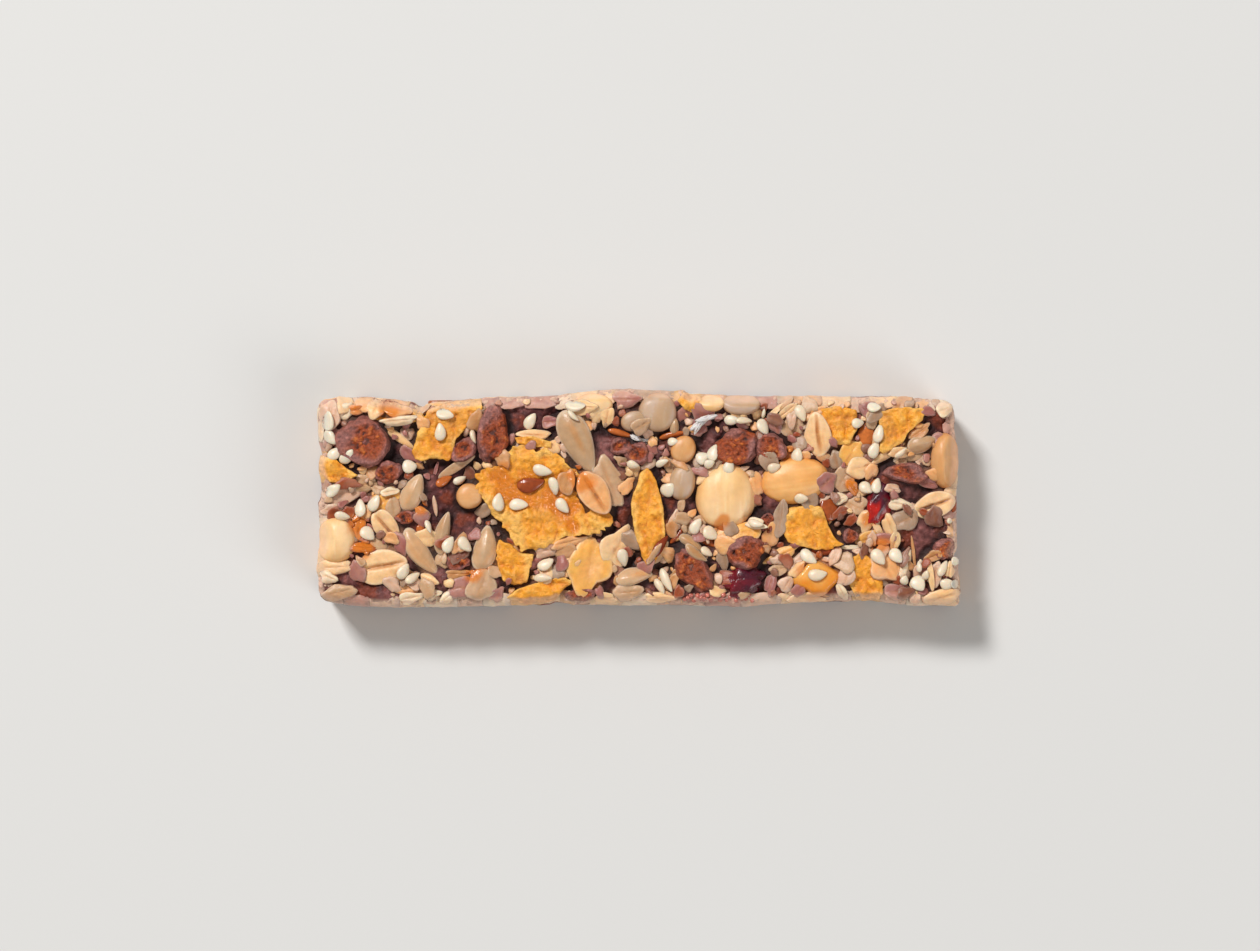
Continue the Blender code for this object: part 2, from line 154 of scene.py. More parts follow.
def mass_colour(x, y, z):
    """The binder's own colour: plum with mauve, grainy patches and rust-red ones where fruit has broken up in it."""
    patches = ramp(uneven(x, y, z, 3.6, 7) + 0.6 * uneven(x, y, z, 0.9, 8), -0.4, 0.7)
    rust = ramp(uneven(x, y, z, 2.7, 9) + 0.3 * uneven(x, y, z, 0.6, 13), 0.1, 0.5)
    return mix(mix(PLUM, MAUVE, patches), RUSTY, 0.75 * rust)


def make_piece(name, points, faces, colour, wet, material, slot, replaced=()):
    """A mesh from points in millimetres, with a colour and a wetness at each point, riding on the bar."""
    mesh = bpy.data.meshes.new(name)
    mesh.vertices.add(len(points))
    mesh.vertices.foreach_set("co", (points * MM).astype(np.float32).ravel())
    corners = np.concatenate([face.ravel() for face in faces])
    starts = np.concatenate([np.full(len(face), face.shape[1]) for face in faces])
    mesh.loops.add(len(corners))
    mesh.loops.foreach_set("vertex_index", corners.astype(np.int32))
    mesh.polygons.add(len(starts))
    mesh.polygons.foreach_set("loop_start", (np.cumsum(starts) - starts).astype(np.int32))
    mesh.update(calc_edges=True)
    rgba = np.concatenate([np.clip(colour, 0, 1), np.ones((len(points), 1))], axis=1)
    mesh.attributes.new("colour", "FLOAT_COLOR", "POINT").data.foreach_set("color", rgba.astype(np.float32).ravel())
    mesh.attributes.new("wet", "FLOAT", "POINT").data.foreach_set("value", wet.astype(np.float32))
    mesh.polygons.foreach_set("use_smooth", np.ones(len(starts), bool))
    mesh.materials.append(material)
    piece = bpy.data.objects.new(name, mesh)
    bpy.context.scene.collection.objects.link(piece)
    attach(piece, "root")
    if replaced:
        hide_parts(*replaced)


def food_material(name, grain, relief, dry, sticky, flesh=0.0, speckle=0.2, coat=0.0):
    """A food surface. Its colour is the piece's own, varied by noise of GRAIN to the metre; RELIEF is its bump in
    metres; roughness runs from DRY to STICKY with the wetness; FLESH is how much light passes under the skin."""
    material = bpy.data.materials.new(name)
    material.use_nodes = True
    tree = material.node_tree

    def fill(node, values):
        """Sets a node's inputs, each to a number or to the output of another node."""
        for socket, value in values.items():
            if isinstance(value, bpy.types.NodeSocket):
                tree.links.new(value, node.inputs[socket])
            else:
                node.inputs[socket].default_value = value
        return node.outputs

    def add(kind, values, attribute=None, operation=None):
        """A new node of this kind, filled in. Returns its outputs."""
        node = tree.nodes.new("ShaderNode" + kind)
        if attribute:
            node.attribute_name = attribute
        if operation:
            node.operation = operation
        return fill(node, values)

    where = add("TexCoord", {})["Object"]
    own = add("Attribute", {}, attribute="colour")["Color"]
    damp = add("Attribute", {}, attribute="wet")["Fac"]
    coarse, fine = (
        add("TexNoise", {"Vector": where, "Scale": scale, "Detail": detail})["Fac"]
        for scale, detail in ((grain, 3.0), (grain * 3.7, 2.0))
    )
    spread = {"From Min": 0.3, "From Max": 0.7, "To Min": 1 - speckle, "To Max": 1 + speckle}
    shade = add("MapRange", {"Value": coarse, **spread})["Result"]
    height = add("Math", {0: fine, 1: 0.4, 2: coarse}, operation="MULTIPLY_ADD")["Value"]
    fill(tree.nodes["Principled BSDF"], {
        "Base Color": add("VectorMath", {"Vector": own, "Scale": shade}, operation="SCALE")["Vector"],
        "Roughness": add("MapRange", {"Value": damp, "To Min": dry, "To Max": sticky})["Result"],
        "Normal": add("Bump", {"Height": height, "Strength": 1.0, "Distance": relief})["Normal"],
        "Subsurface Weight": flesh,
        "Subsurface Radius": (1.0, 0.55, 0.3),
        "Subsurface Scale": 0.0012,
        "Coat Weight": coat,
        "Coat Roughness": 0.15,
    })
    return material


def spaced(half, middle_count):
    """Places from edge to edge, closer together over the rounded rim."""
    rim = np.array([0.0, 0.12, 0.3, 0.5, 0.75, 1.0, 1.3, 1.6, 1.9])
    one_side = np.concatenate([rim, np.linspace(2.2, half, middle_count)])
    return np.concatenate([one_side - half, (half - one_side)[-2::-1]])


east, north = spaced(LENGTH / 2, 196), spaced(WIDTH / 2, 66)
s, t = (east / LENGTH + 0.5)[:, None], (north / WIDTH + 0.5)[None, :]
plan_x = left_edge(north)[None, :] * (1 - s) + right_edge(north)[None, :] * s
plan_y = front_edge(plan_x) * (1 - t) + back_edge(plan_x) * t
columns, rows = plan_x.shape
index = np.arange(columns * rows).reshape(columns, rows)


def rim_of(grid):
    """A grid's outer entries in order: along the front, the right, the back and the left."""
    return np.concatenate([grid[:-1, 0], grid[-1, :-1], grid[:0:-1, -1], grid[0, :0:-1]])


rim = rim_of(index)
wall_x, wall_y = plan_x.ravel()[rim], plan_y.ravel()[rim]

# The wall's line: distance along it, and its outward direction, smoothed so that pieces wrap round the corners
wall_run = np.hypot(wall_x - np.roll(wall_x, 1), wall_y - np.roll(wall_y, 1))
wall_s = np.cumsum(wall_run)
PERIMETER = wall_s[-1]
ahead = np.stack([np.roll(wall_x, -6) - np.roll(wall_x, 6), np.roll(wall_y, -6) - np.roll(wall_y, 6)])
ahead = ahead / np.hypot(*ahead)
out_x, out_y = ahead[1], -ahead[0]

ground_x, ground_y = np.meshgrid(
    np.arange(-LENGTH / 2 - 1, LENGTH / 2 + 1, CELL), np.arange(-WIDTH / 2 - 1, WIDTH / 2 + 1, CELL), indexing="ij"
)
ground_inside = from_edge(ground_x, ground_y)
ground = mass_top(ground_x, ground_y)
stain = mass_colour(ground_x, ground_y, ground)

# What every piece needs to lie in the bar: the map called ground holds the height of what lies there so far, and
# stain its colour. Each piece that is laid raises the one and tints the other, and the mould flattens what reaches
# past the walls, the base or the rounded top edge.


def near(x, y, reach):
    """The window of the ground's cells within this reach of a place."""
    i = int((x - ground_x[0, 0]) / CELL)
    j = int((y - ground_y[0, 0]) / CELL)
    cells = int(reach / CELL) + 2
    return slice(max(i - cells, 0), i + cells), slice(max(j - cells, 0), j + cells)


def settle(x, y, turn, long, wide, thick, sink, tint, level=None, rest_on=65):
    """Lays one oval piece on the ground: it takes the slope of the plane through what lies under it, rests on the
    higher part of that, less SINK of its thickness, and raises the ground to its own domed top. LEVEL fixes it."""
    window = near(x, y, max(long, wide) / 2)
    dx, dy = ground_x[window] - x, ground_y[window] - y
    angle = math.radians(turn)
    along = (dx * math.cos(angle) + dy * math.sin(angle)) * 2 / long
    across = (dy * math.cos(angle) - dx * math.sin(angle)) * 2 / wide
    reach = along**2 + across**2
    # A crumb that holds no cell of the ground rests on the one nearest to its middle
    under = (reach < max(1, reach.min() + 0.01)) & (ground_inside[window] > -0.6)
    heights = ground[window][under]
    slope = np.zeros(2)
    if level is None:
        plane = np.stack([np.ones(heights.size), dx[under], dy[under]], axis=1)
        slope = np.clip(np.linalg.lstsq(plane, heights, rcond=None)[0][1:], -0.28, 0.28)
        rest = heights - dx[under] * slope[0] - dy[under] * slope[1]
        level = np.percentile(rest, rest_on) + thick * (0.5 - sink)
    top = level + dx * slope[0] + dy * slope[1] + thick / 2 * np.sqrt(np.clip(1 - reach, 0, 1))
    higher = under & (top > ground[window])
    ground[window] = np.where(higher, top, ground[window])
    stain[window][higher] = tint
    return level, *slope


def soft_limit(value, limit, softness=0.1):
    """The value while well under its limit, and bending smoothly into the limit above that."""
    return limit - softness * np.logaddexp(0, (limit - value) / softness)


MOULD_SLACK = 0.12


def pressed(points):
    """Points kept inside the mould: its walls, and the rounded edge between walls and top."""
    x, y, z = np.moveaxis(points, -1, 0)
    x = -soft_limit(-soft_limit(x, right_edge(y) + MOULD_SLACK), MOULD_SLACK - left_edge(y))
    y = -soft_limit(-soft_limit(y, back_edge(x) + MOULD_SLACK), MOULD_SLACK - front_edge(x))
    inside = from_edge(x, y) + 0.15
    ceiling = CORE_HEIGHT + 0.05 - round_off(inside, TOP_ROUND) + 1.1 * np.clip(inside - 1.0, 0, None)
    return np.stack([x, y, soft_limit(z, ceiling)], axis=-1)


def ball(rings, sides):
    """A unit ball: rings from the lower pole to the upper, each once round. Returns its x, y and z."""
    level = np.linspace(-math.pi / 2, math.pi / 2, rings)[:, None]
    around = np.arange(sides)[None, :] * 2 * math.pi / sides
    return np.cos(level) * np.cos(around), np.cos(level) * np.sin(around), np.sin(level) + 0 * around


def per_piece(values):
    """One value for each piece, shaped to spread over its rings and sides."""
    return np.asarray(values, float)[:, None, None]


def turned(local, degrees):
    """Each piece's points turned about the vertical: their x, y and z."""
    cos, sin = per_piece(np.cos(np.radians(degrees))), per_piece(np.sin(np.radians(degrees)))
    x, y, z = np.moveaxis(local, -1, 0)
    return x * cos - y * sin, x * sin + y * cos, z


def laid(local, places, thick, sink, tints, level=None, rest_on=65):
    """Pieces turned about the vertical and laid on the ground at their places: (x, y, turn, length, width)."""
    x, y, turn = np.array([place[:3] for place in places], float).T
    thick = np.broadcast_to(thick, len(places))
    tints = np.broadcast_to(tints, (len(places), 3))
    rest = [
        settle(*place[:5], thick[k], sink, tints[k], None if level is None else level[k], rest_on)
        for k, place in enumerate(places)
    ]
    z, slope_x, slope_y = (per_piece(column) for column in zip(*rest))
    dx, dy, pz = turned(local, turn)
    points = np.stack([dx + per_piece(x), dy + per_piece(y), pz + z + slope_x * dx + slope_y * dy], axis=-1)
    return pressed(points)


def spots(columns, rows, seed):
    """Places over a unit square, one in each cell of a grid but nowhere near its middle, in a random order."""
    scatter = np.random.default_rng(seed)
    grid = np.stack(np.meshgrid(np.arange(columns), np.arange(rows), indexing="ij"), axis=-1).reshape(-1, 2)
    return scatter.permutation((grid + 0.5 + scatter.uniform(-0.45, 0.45, grid.shape)) / (columns, rows))


wall_spots, base_spots = iter(spots(60, 4, 5)), iter(spots(24, 8, 6))


def on_wall(local, run, up, turn, out_level):
    """Pieces bent to the wall's line at a run along it and a height up it, over the rounded edge and on to the top.
    What would stand out past OUT_LEVEL is flat."""
    dx, dy, dz = turned(local, turn)
    along = per_piece(run) + dx
    up = np.maximum(per_piece(up) + dy, 0.25)
    out = soft_limit(dz, per_piece(out_level), 0.06)
    line_x, line_y, way_x, way_y = (
        np.interp(along % PERIMETER, wall_s, line, period=PERIMETER) for line in (wall_x, wall_y, out_x, out_y)
    )
    bend = np.clip((up - WALL_STRAIGHT) / TOP_ROUND, 0, math.pi / 2)
    beyond = np.clip(up - WALL_STRAIGHT - TOP_ROUND * math.pi / 2, 0, None)
    shift = (TOP_ROUND + out) * np.cos(bend) - TOP_ROUND - beyond - 0.5 * round_off(up - BASE_LEVEL, BASE_ROUND)
    height = np.minimum(up, WALL_STRAIGHT) + (TOP_ROUND + out) * np.sin(bend)
    return np.stack([line_x + way_x * shift, line_y + way_y * shift, height], axis=-1)


def in_wall(local, draw, lean=25):
    """Pieces pressed against the wall at the next of its spots, lying along it or, a few, standing."""
    count = len(local)
    run, rise = np.array([next(wall_spots) for _ in range(count)]).T
    turn = draw.uniform(-lean, lean, count) + draw.choice([0, 0, 0, 180, 180, 90], count)
    px, py = np.abs(local[..., 0]).max(axis=(1, 2)), np.abs(local[..., 1]).max(axis=(1, 2))
    half = px * np.abs(np.sin(np.radians(turn))) + py * np.abs(np.cos(np.radians(turn)))
    low, high = 0.55 * half + 0.2, np.maximum(WALL_STRAIGHT + 1.2 - 0.8 * half, 0.8 * half + 0.5)
    sunk = local.copy()
    sunk[..., 2] -= per_piece(draw.uniform(0.05, 0.45, count) * local[..., 2].max(axis=(1, 2)))
    return on_wall(sunk, run * PERIMETER, low + rise * (high - low), turn, draw.uniform(-0.14, 0.12, count))


def in_base(local, draw):
    """Pieces pressed into the flat base, face down, at the next of its spots."""
    count = len(local)
    across, along = np.array([next(base_spots) for _ in range(count)]).T
    turn = draw.uniform(0, 360, count)
    dx, dy, pz = turned(local * (1, -1, 1), turn)
    x = per_piece((across - 0.5) * (LENGTH - 4.4)) + dx
    y = per_piece((along - 0.5) * (WIDTH - 4.6)) + dy
    x = -soft_limit(-soft_limit(x, LENGTH / 2 - 1.3), LENGTH / 2 - 1.3)
    y = -soft_limit(-soft_limit(y, WIDTH / 2 - 1.7), WIDTH / 2 - 1.7)
    depth = -per_piece(draw.uniform(0.05, 0.4, count) * pz.max(axis=(1, 2)))
    return np.stack([x, y, -soft_limit(pz + depth, per_piece(draw.uniform(-0.17, -0.02, count)), 0.05)], axis=-1)


def drawn(draw, count, *spans):
    """Sizes for some pieces: a column for each span, drawn from it, or the one number given instead."""
    columns = [np.full(count, span) if np.isscalar(span) else draw.uniform(*span, count) for span in spans]
    return np.stack(columns, axis=1)


def closed_forms(groups, foot_shade=0.85):
    """Points, faces, colours and wetness of all the pieces of a kind, each a closed form with two poles. Below its
    rim and, faintly, along it each piece's colour is darkened and reddened towards the binder's, by the share given:
    painted shade where it sits in the binder."""
    points, faces, colours, wets, first = [], [], [], [], 0
    for places, colour, wet in groups:
        count, rings, sides, _ = places.shape
        body = slice(1, rings - 1)
        size = (rings - 2) * sides + 2
        # Painted shade: each piece's lower half is darkened and reddened towards the binder's colour, by the share
        # given.
        foot = ramp(np.sin(np.linspace(-math.pi / 2, math.pi / 2, rings)), 0.34, -0.12)[None, :, None]
        colour = np.broadcast_to(colour, places.shape)
        colour = mix(colour, colour * (0.42, 0.22, 0.20), foot * foot_shade)
        wet = np.broadcast_to(wet, places.shape[:3])[..., None]
        for made, whole in ((points, places), (colours, colour), (wets, wet)):
            middle = whole[:, body].reshape(count, -1, whole.shape[-1])
            closed = np.concatenate([whole[:, :1, 0], middle, whole[:, -1:, 0]], axis=1)
            made.append(closed.reshape(-1, whole.shape[-1]))
        ring = 1 + np.arange((rings - 2) * sides).reshape(rings - 2, sides)
        after = np.roll(ring, -1, axis=1)
        bands = np.stack([ring[:-1], after[:-1], after[1:], ring[1:]], axis=-1).reshape(-1, 4)
        low = np.stack([np.zeros(sides, int), after[0], ring[0]], axis=-1)
        high = np.stack([np.full(sides, size - 1), ring[-1], after[-1]], axis=-1)
        starts = first + np.arange(count)[:, None, None] * size
        faces += [(face[None] + starts).reshape(-1, face.shape[1]) for face in (bands, low, high)]
        first += count * size
    return np.concatenate(points), faces, np.concatenate(colours), np.concatenate(wets)[:, 0]


def edge_paled(points, colour, share=0.6):
    """Colours turned milky along the rim of the top, where the mould has pressed the pieces flat: partly the pressed
    film's own paleness, partly painted sheen.
    """
    x, y, z = np.moveaxis(points, -1, 0)
    reach = 1.7 + 0.5 * uneven(x, y, 0.0, 1.9, 21)
    milk = colour * 0.35 + MILKY_SHEEN * 0.7
    return mix(colour, milk, share * ramp(reach - from_edge(x, y), 0.0, 0.8) * ramp(z, 7.0, 9.5))


# Syrup: honey and sugar boiled to an amber gloss, which ran over some pieces before it set. It is a stain and a
# shine in their surfaces: (x, y, radius) of each spot.
SYRUP_SPOTS = [
    (-22.6, 2.4, 3.6), (-19.0, 1.2, 4.2), (-15.0, 0.6, 3.4), (-12.4, -1.6, 3.2), (-9.6, 3.0, 3.0), (-11.5, -4.6, 2.0),
    (14.4, -4.0, 1.8), (25.2, 7.8, 2.2), (-47.6, -4.6, 2.4), (-46.6, -8.2, 2.2), (41.6, -7.8, 2.2), (30.2, -13.4, 4.4),
    (-42.4, 15.2, 1.9), (-28.0, -12.6, 2.0), (36.6, 2.2, 1.9), (39.2, -3.4, 1.6), (-26.2, -11.0, 1.4),
    (-37.0, -1.6, 1.6),
]
AMBER = np.array((0.72, 0.20, 0.014))


def syrup(points, seed=0):
    """How much syrup covers each point, from 0 to 1: round its spots, with an uneven border."""
    x, y, z = np.moveaxis(points, -1, 0)
    border = 0.4 * uneven(x, y, 0.0, 1.8, 20 + seed)
    depth = [1 - np.hypot(x - spot_x, y - spot_y) / radius for spot_x, spot_y, radius in SYRUP_SPOTS]
    return ramp(np.max(depth, axis=0) + border, 0.0, 0.55) * ramp(z, CORE_HEIGHT - 3.0, CORE_HEIGHT - 1.0)


# Nuts: blanched hazelnuts and pieces of nut, smooth ivory to light gold, pressed into the mass while it was warm.
# Those that the mould's wall crossed are flat there. Two are whole, and lie in pockets of their own.
IVORY, NUT_GOLD = np.array((0.93, 0.61, 0.31)), np.array((0.87, 0.44, 0.14))
NUT_TAN, NUT_GREY = np.array((0.74, 0.39, 0.16)), np.array((0.56, 0.39, 0.27))
NUTS = [
    (15.0, 0.5, 90, 11.8, 10.4, 9.4, IVORY), (26.8, 3.0, 8, 12.0, 8.3, 8.2, NUT_GOLD),
    (52.4, 6.4, 90, 9.6, 5.2, 8.6, NUT_TAN), (-51.4, -7.0, 90, 8.2, 7.0, 8.4, IVORY),
    (7.6, 2.8, 80, 6.4, 4.6, 4.4, NUT_GREY), (7.8, 8.4, 70, 4.8, 4.3, 3.6, NUT_TAN),
    (-28.6, 0.4, 0, 4.6, 4.4, 3.2, NUT_TAN), (3.4, 14.7, 80, 6.8, 6.5, 4.2, NUT_GREY),
    (-7.4, 16.0, 0, 6.4, 3.8, 4.0, IVORY), (17.6, 16.0, 0, 6.6, 3.8, 4.0, NUT_GREY),
    (12.6, 16.2, 0, 4.4, 3.0, 3.4, IVORY), (-0.6, 13.2, 15, 4.6, 3.4, 3.0, NUT_GREY),
]
nut_nodes = ["whole_nut_middle", "whole_nut_right", "cut_nut_right", "cut_nut_left"]


def nut_forms(sizes, tones, draw, rings, sides):
    """Balls narrowing a little towards one end, with shallow furrows that run from pole to pole."""
    x, y, z = ball(rings, sides)
    count = len(sizes)
    long, wide, thick = (per_piece(side) for side in np.transpose(sizes))
    seed = per_piece(draw.uniform(0, 60, count))
    furrows = 1 + 0.014 * uneven(0.6 * x + seed, 2.0 * y, 2.0 * z, 0.28, 30) + 0.03 * uneven(x + seed, y, z, 0.9, 31)
    narrow = 1 - per_piece(draw.uniform(0.02, 0.08, count)) * x
    high = np.sign(z) * np.abs(z) ** 0.5
    local = np.stack([x * long / 2 * furrows, y * wide / 2 * furrows * narrow, high * thick / 2 * furrows], axis=-1)
    own = np.array(tones)[:, None, None, :]
    aged = ramp(uneven(x + seed, 2 * y, z, 0.9, 32), -0.7, 0.8)
    tone = mix(own * (1.02, 1.02, 1.05), own * (0.97, 0.86, 0.68), aged)
    bands = ramp(uneven(0.35 * x + seed, 3.6 * y, 0.0, 0.3, 33), 0.0, 0.8)
    tone = mix(tone, tone * (1.04, 1.12, 1.25), bands * 0.8)
    # Painted shade: each nut's colour is darkened and turned more golden towards its outline as seen from above.
    return local, mix(tone, tone * (0.9, 0.72, 0.5), ramp(np.hypot(x, y), 0.75, 1.0) * 0.5)


draw = np.random.default_rng(11)
levels = [(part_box(name)[0][2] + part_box(name)[1][2]) / 2 / MM for name in nut_nodes]
groups = []
for some, rings_sides, heights in ((NUTS[:2], (46, 80), levels[:2]), (NUTS[2:], (26, 44), levels[2:])):
    local, tone = nut_forms([nut[3:6] for nut in some], [nut[6] for nut in some], draw, *rings_sides)
    heights = heights + [CORE_HEIGHT + 1.25 - nut[5] / 2 for nut in some[len(heights):]]
    points = laid(local, some, [nut[5] for nut in some], 0.0, [nut[6] * 0.8 for nut in some], heights)
    cover = syrup(points)
    groups.append((points, edge_paled(points, mix(tone, AMBER, cover * 0.8)), 0.25 + 0.75 * cover))
for place_in, count in ((in_wall, 18), (in_base, 14)):
    sizes = drawn(draw, count, (4, 9), (3.5, 7), (2.5, 5))
    tones = np.array([IVORY, NUT_GOLD, NUT_TAN, NUT_GREY])[draw.integers(0, 4, count)]
    local, tone = nut_forms(sizes, tones, draw, 16, 26)
    points = place_in(local, draw)
    groups.append((points, edge_paled(points, tone), 0.3))
nut_skin = food_material("nut_skin", 500, 0.00006, 0.5, 0.16, flesh=0.25, speckle=0.07)
make_piece("nuts", *closed_forms(groups), nut_skin, "blanched_nut", nut_nodes)

# Fruit crisps: lumps of dried date and fig paste, baked until porous. The cut face is rust-brown, pitted and grainy,
# and a rim of mauve skin, dusty with sugar, stands round it.
RUST, PIT_SHADE = np.array((0.34, 0.056, 0.009)), np.array((0.035, 0.004, 0.002))
RIM_MAUVE, GLINT_HIGHLIGHT = np.array((0.30, 0.115, 0.095)), np.array((0.66, 0.17, 0.022))
FRUIT = [
    (-46.7, 9.8, -28, 9.4, 8.2, 7.4), (-24.5, 11.0, 88, 9.4, 5.0, 6.6), (9.3, -12.2, -57, 9.4, 5.2, 6.6),
    (18.2, -9.2, 10, 7.6, 6.0, 6.8), (17.0, 8.9, 10, 7.8, 6.2, 6.4), (22.6, 8.8, -8, 5.6, 4.5, 6.0),
    (46.0, 4.2, -3, 7.4, 3.3, 4.0), (-42.2, 4.4, 20, 5.2, 4.0, 3.6), (0.0, 7.7, 0, 4.0, 3.7, 3.0),
    (-2.9, 8.8, 0, 3.4, 3.0, 2.6), (-30.6, -10.8, 0, 4.6, 3.1, 3.0), (52.2, -8.6, 60, 4.0, 3.4, 3.0),
    (-39.2, -3.3, 10, 4.0, 2.2, 2.6), (-29.6, 8.3, 30, 4.8, 3.6, 2.6), (36.2, -6.4, 0, 2.8, 2.4, 2.2),
    (22.0, -4.2, 80, 3.4, 2.4, 2.2), (-9.6, -16.4, 5, 5.0, 2.2, 2.4),
]
fruit_nodes = [
    "fruit_crisp_left", "fruit_crisp_back", "fruit_crisp_front", "fruit_crisp_front_right", "fruit_crisp_back_right",
]


def fruit_forms(sizes, draw, rings, sides):
    """Lumpy balls with a flattened, hollowed top: the rim stands at four fifths of the way out, and the hollow is
    broken by pits of three sizes."""
    x, y, z = ball(rings, sides)
    count = len(sizes)
    long, wide, thick = (per_piece(side) for side in np.transpose(sizes))
    seed = per_piece(draw.uniform(0, 60, count))
    lumps = 1 + 0.19 * uneven(x + seed, y, 0.4 * z, 0.9, 40) + 0.10 * uneven(x + seed, y, z, 0.3, 41)
    lumps = lumps + 0.07 * np.cos(3 * np.arctan2(y, x) + seed) * (1 - z**2)
    core = np.hypot(x, y) + 0.5 * uneven(x + seed, y, 0.0, 0.7, 42) + 0.08 * uneven(x, y + seed, 0.0, 0.2, 47)
    core = ramp(core, 1.0, 0.45) * (z > 0)
    height = np.where(z > 0, np.minimum(z * 1.25, 0.66 + 0.1 * z), z)
    px, py = x * long / 2 * lumps, y * wide / 2 * lumps
    pits = uneven(px + seed, py, 0.0, 0.8, 43) + 0.8 * uneven(px + seed, py, 0.0, 0.4, 44)
    pits = pits + 0.4 * uneven(px, py + seed, 0.0, 0.2, 48)
    pz = height * thick / 2 + core * (0.3 * pits - 0.35) + 0.1 * uneven(px, py + seed, 0.0, 0.45, 45) * (z > 0)
    # Painted shade and painted highlight on the cut face: the low pits are darkened nearly to black, and the raised
    # grain between them is turned bright orange.
    tone = mix(RIM_MAUVE, mix(RUST, PIT_SHADE, ramp(-pits, 0.15, 1.2)), core)
    tone = mix(tone, GLINT_HIGHLIGHT, core * ramp(pits, 0.35, 1.1) * 0.9)
    dust = ramp(uneven(px + seed, py, pz, 0.4, 46), 0.1, 0.7) * (1 - core)
    tone = mix(tone, PLUM, ramp(-pits, 0.3, 1.3) * (1 - core) * 0.8)
    return np.stack([px, py, pz], axis=-1), mix(tone, RIM_MAUVE * 2.0, dust * 0.6), core


draw = np.random.default_rng(12)
groups = []
for some, rings_sides, rise in ((FRUIT[:6], (54, 84), 1.45), (FRUIT[6:], (34, 52), 0.95)):
    local, tone, core = fruit_forms([size[3:] for size in some], draw, *rings_sides)
    heights = [CORE_HEIGHT + rise - size[5] / 3 for size in some]
    points = laid(local, some, [0.84 * size[5] for size in some], 0.0, RIM_MAUVE * 0.6, heights)
    groups.append((points, edge_paled(points, tone, 0.4), 0.35 + 0.3 * core))
for place_in, count in ((in_wall, 26), (in_base, 20)):
    sizes = drawn(draw, count, (4, 8), (3, 5), (2.5, 4))
    local, tone, core = fruit_forms(sizes, draw, 22, 34)
    local[..., 2] += per_piece(0.1 * sizes[:, 2])
    groups.append((place_in(local, draw), tone, 0.3))
crisp = food_material("fruit_crisp_crumb", 2300, 0.0003, 0.65, 0.35, flesh=0.1, speckle=0.35)
make_piece("fruit_crisps", *closed_forms(groups), crisp, "fruit_crisp", fruit_nodes)

# Dried apricot: one diced piece near the front edge, four-sided and translucent orange under its film of syrup. It
# was pressed in with the rest, so its top is flat and level with its neighbours.
APRICOT, APRICOT_DEEP = np.array((0.88, 0.42, 0.10)), np.array((0.80, 0.27, 0.02))
APRICOT_PLACE = (30.5, -13.6, 8, 7.8, 6.6)
x, y, z = ball(36, 60)
corner = np.arctan2(y, x)
facets = (1 + 0.10 * np.cos(4 * corner) + 0.05 * uneven(x, y, z, 0.5, 150)) * (0.93 + 0.07 * np.cos(2 * corner + 1))
height = np.where(z > 0, np.minimum(z * 1.2, 0.7 + 0.12 * z), z) * 2.5 + 0.12 * uneven(3 * x, 3 * y, 0.0, 1.3, 151)
local = np.stack([x * APRICOT_PLACE[3] / 2 * facets, y * APRICOT_PLACE[4] / 2 * facets, height], axis=-1)[None]
points = laid(local, [APRICOT_PLACE], 3.6, 0.0, APRICOT, [CORE_HEIGHT - 0.7])
deep = ramp(uneven(*np.moveaxis(points, -1, 0), 2.4, 152) - 0.25 * (points[..., 1] + 13.6), -0.4, 0.9)
tone = edge_paled(points, mix(APRICOT, APRICOT_DEEP, deep))
apricot_flesh = food_material("apricot_flesh", 500, 0.00012, 0.35, 0.12, flesh=0.4, speckle=0.08)
make_piece(
    "apricot_dice", *closed_forms([(points, tone, 0.8)]), apricot_flesh, "dried_apricot", ["apricot_piece"],
)

# Corn flakes: cooked maize rolled thin and toasted until it blisters. Each is a curled golden sheet, paler and
# ragged at its rim, deeper orange in its hollows, where shade is painted, and the large one holds a puddle of syrup.
FLAKE_THICKNESS = 1.0
GOLD, HOLLOW_SHADE = np.array((0.93, 0.37, 0.022)), np.array((0.70, 0.20, 0.009))
PALE_CRUST, OCHRE = np.array((0.96, 0.56, 0.14)), np.array((0.64, 0.27, 0.045))
FLAKES = {
    "corn_flake_large": [
        (-27.8, 4.0), (-26.1, 5.2), (-23.2, 6.0), (-22.0, 8.1), (-19.3, 8.8), (-15.0, 8.2), (-12.8, 7.2),
        (-11.1, 5.0), (-8.1, 3.1), (-4.2, -3.1), (-5.0, -5.5), (-9.8, -5.9), (-15.0, -7.9), (-19.8, -9.1),
        (-23.2, -4.2), (-24.7, -3.1), (-26.9, 1.0),
    ],
    "corn_flake_back": [
        (-38.5, 7.9), (-37.2, 11.6), (-35.8, 15.0), (-30.9, 16.8), (-26.4, 16.8), (-26.6, 14.0), (-28.9, 12.2),
        (-30.9, 9.9), (-31.9, 6.3), (-34.2, 6.6), (-37.4, 6.4),
    ],
    "corn_flake_upright": [
        (0.4, 4.8), (1.8, 5.5), (3.1, 3.1), (4.3, -1.1), (4.8, -5.4), (3.0, -10.5), (2.0, -11.8), (0.9, -10.5),
        (-0.6, -5.4), (-1.3, -1.1),
    ],
    "corn_flake_right": [
        (24.6, -3.7), (25.9, -1.6), (29.3, -0.9), (31.4, -1.8), (32.4, -4.5), (33.7, -7.1), (35.4, -7.9),
        (32.7, -8.6), (28.5, -8.4), (25.2, -7.4),
    ],
    "corn_flake_corner": [
        (41.2, 14.9), (45.5, 15.6), (49.6, 15.2), (48.2, 13.1), (46.1, 11.3), (45.0, 9.5), (42.9, 8.1), (41.3, 7.7),
    ],
}
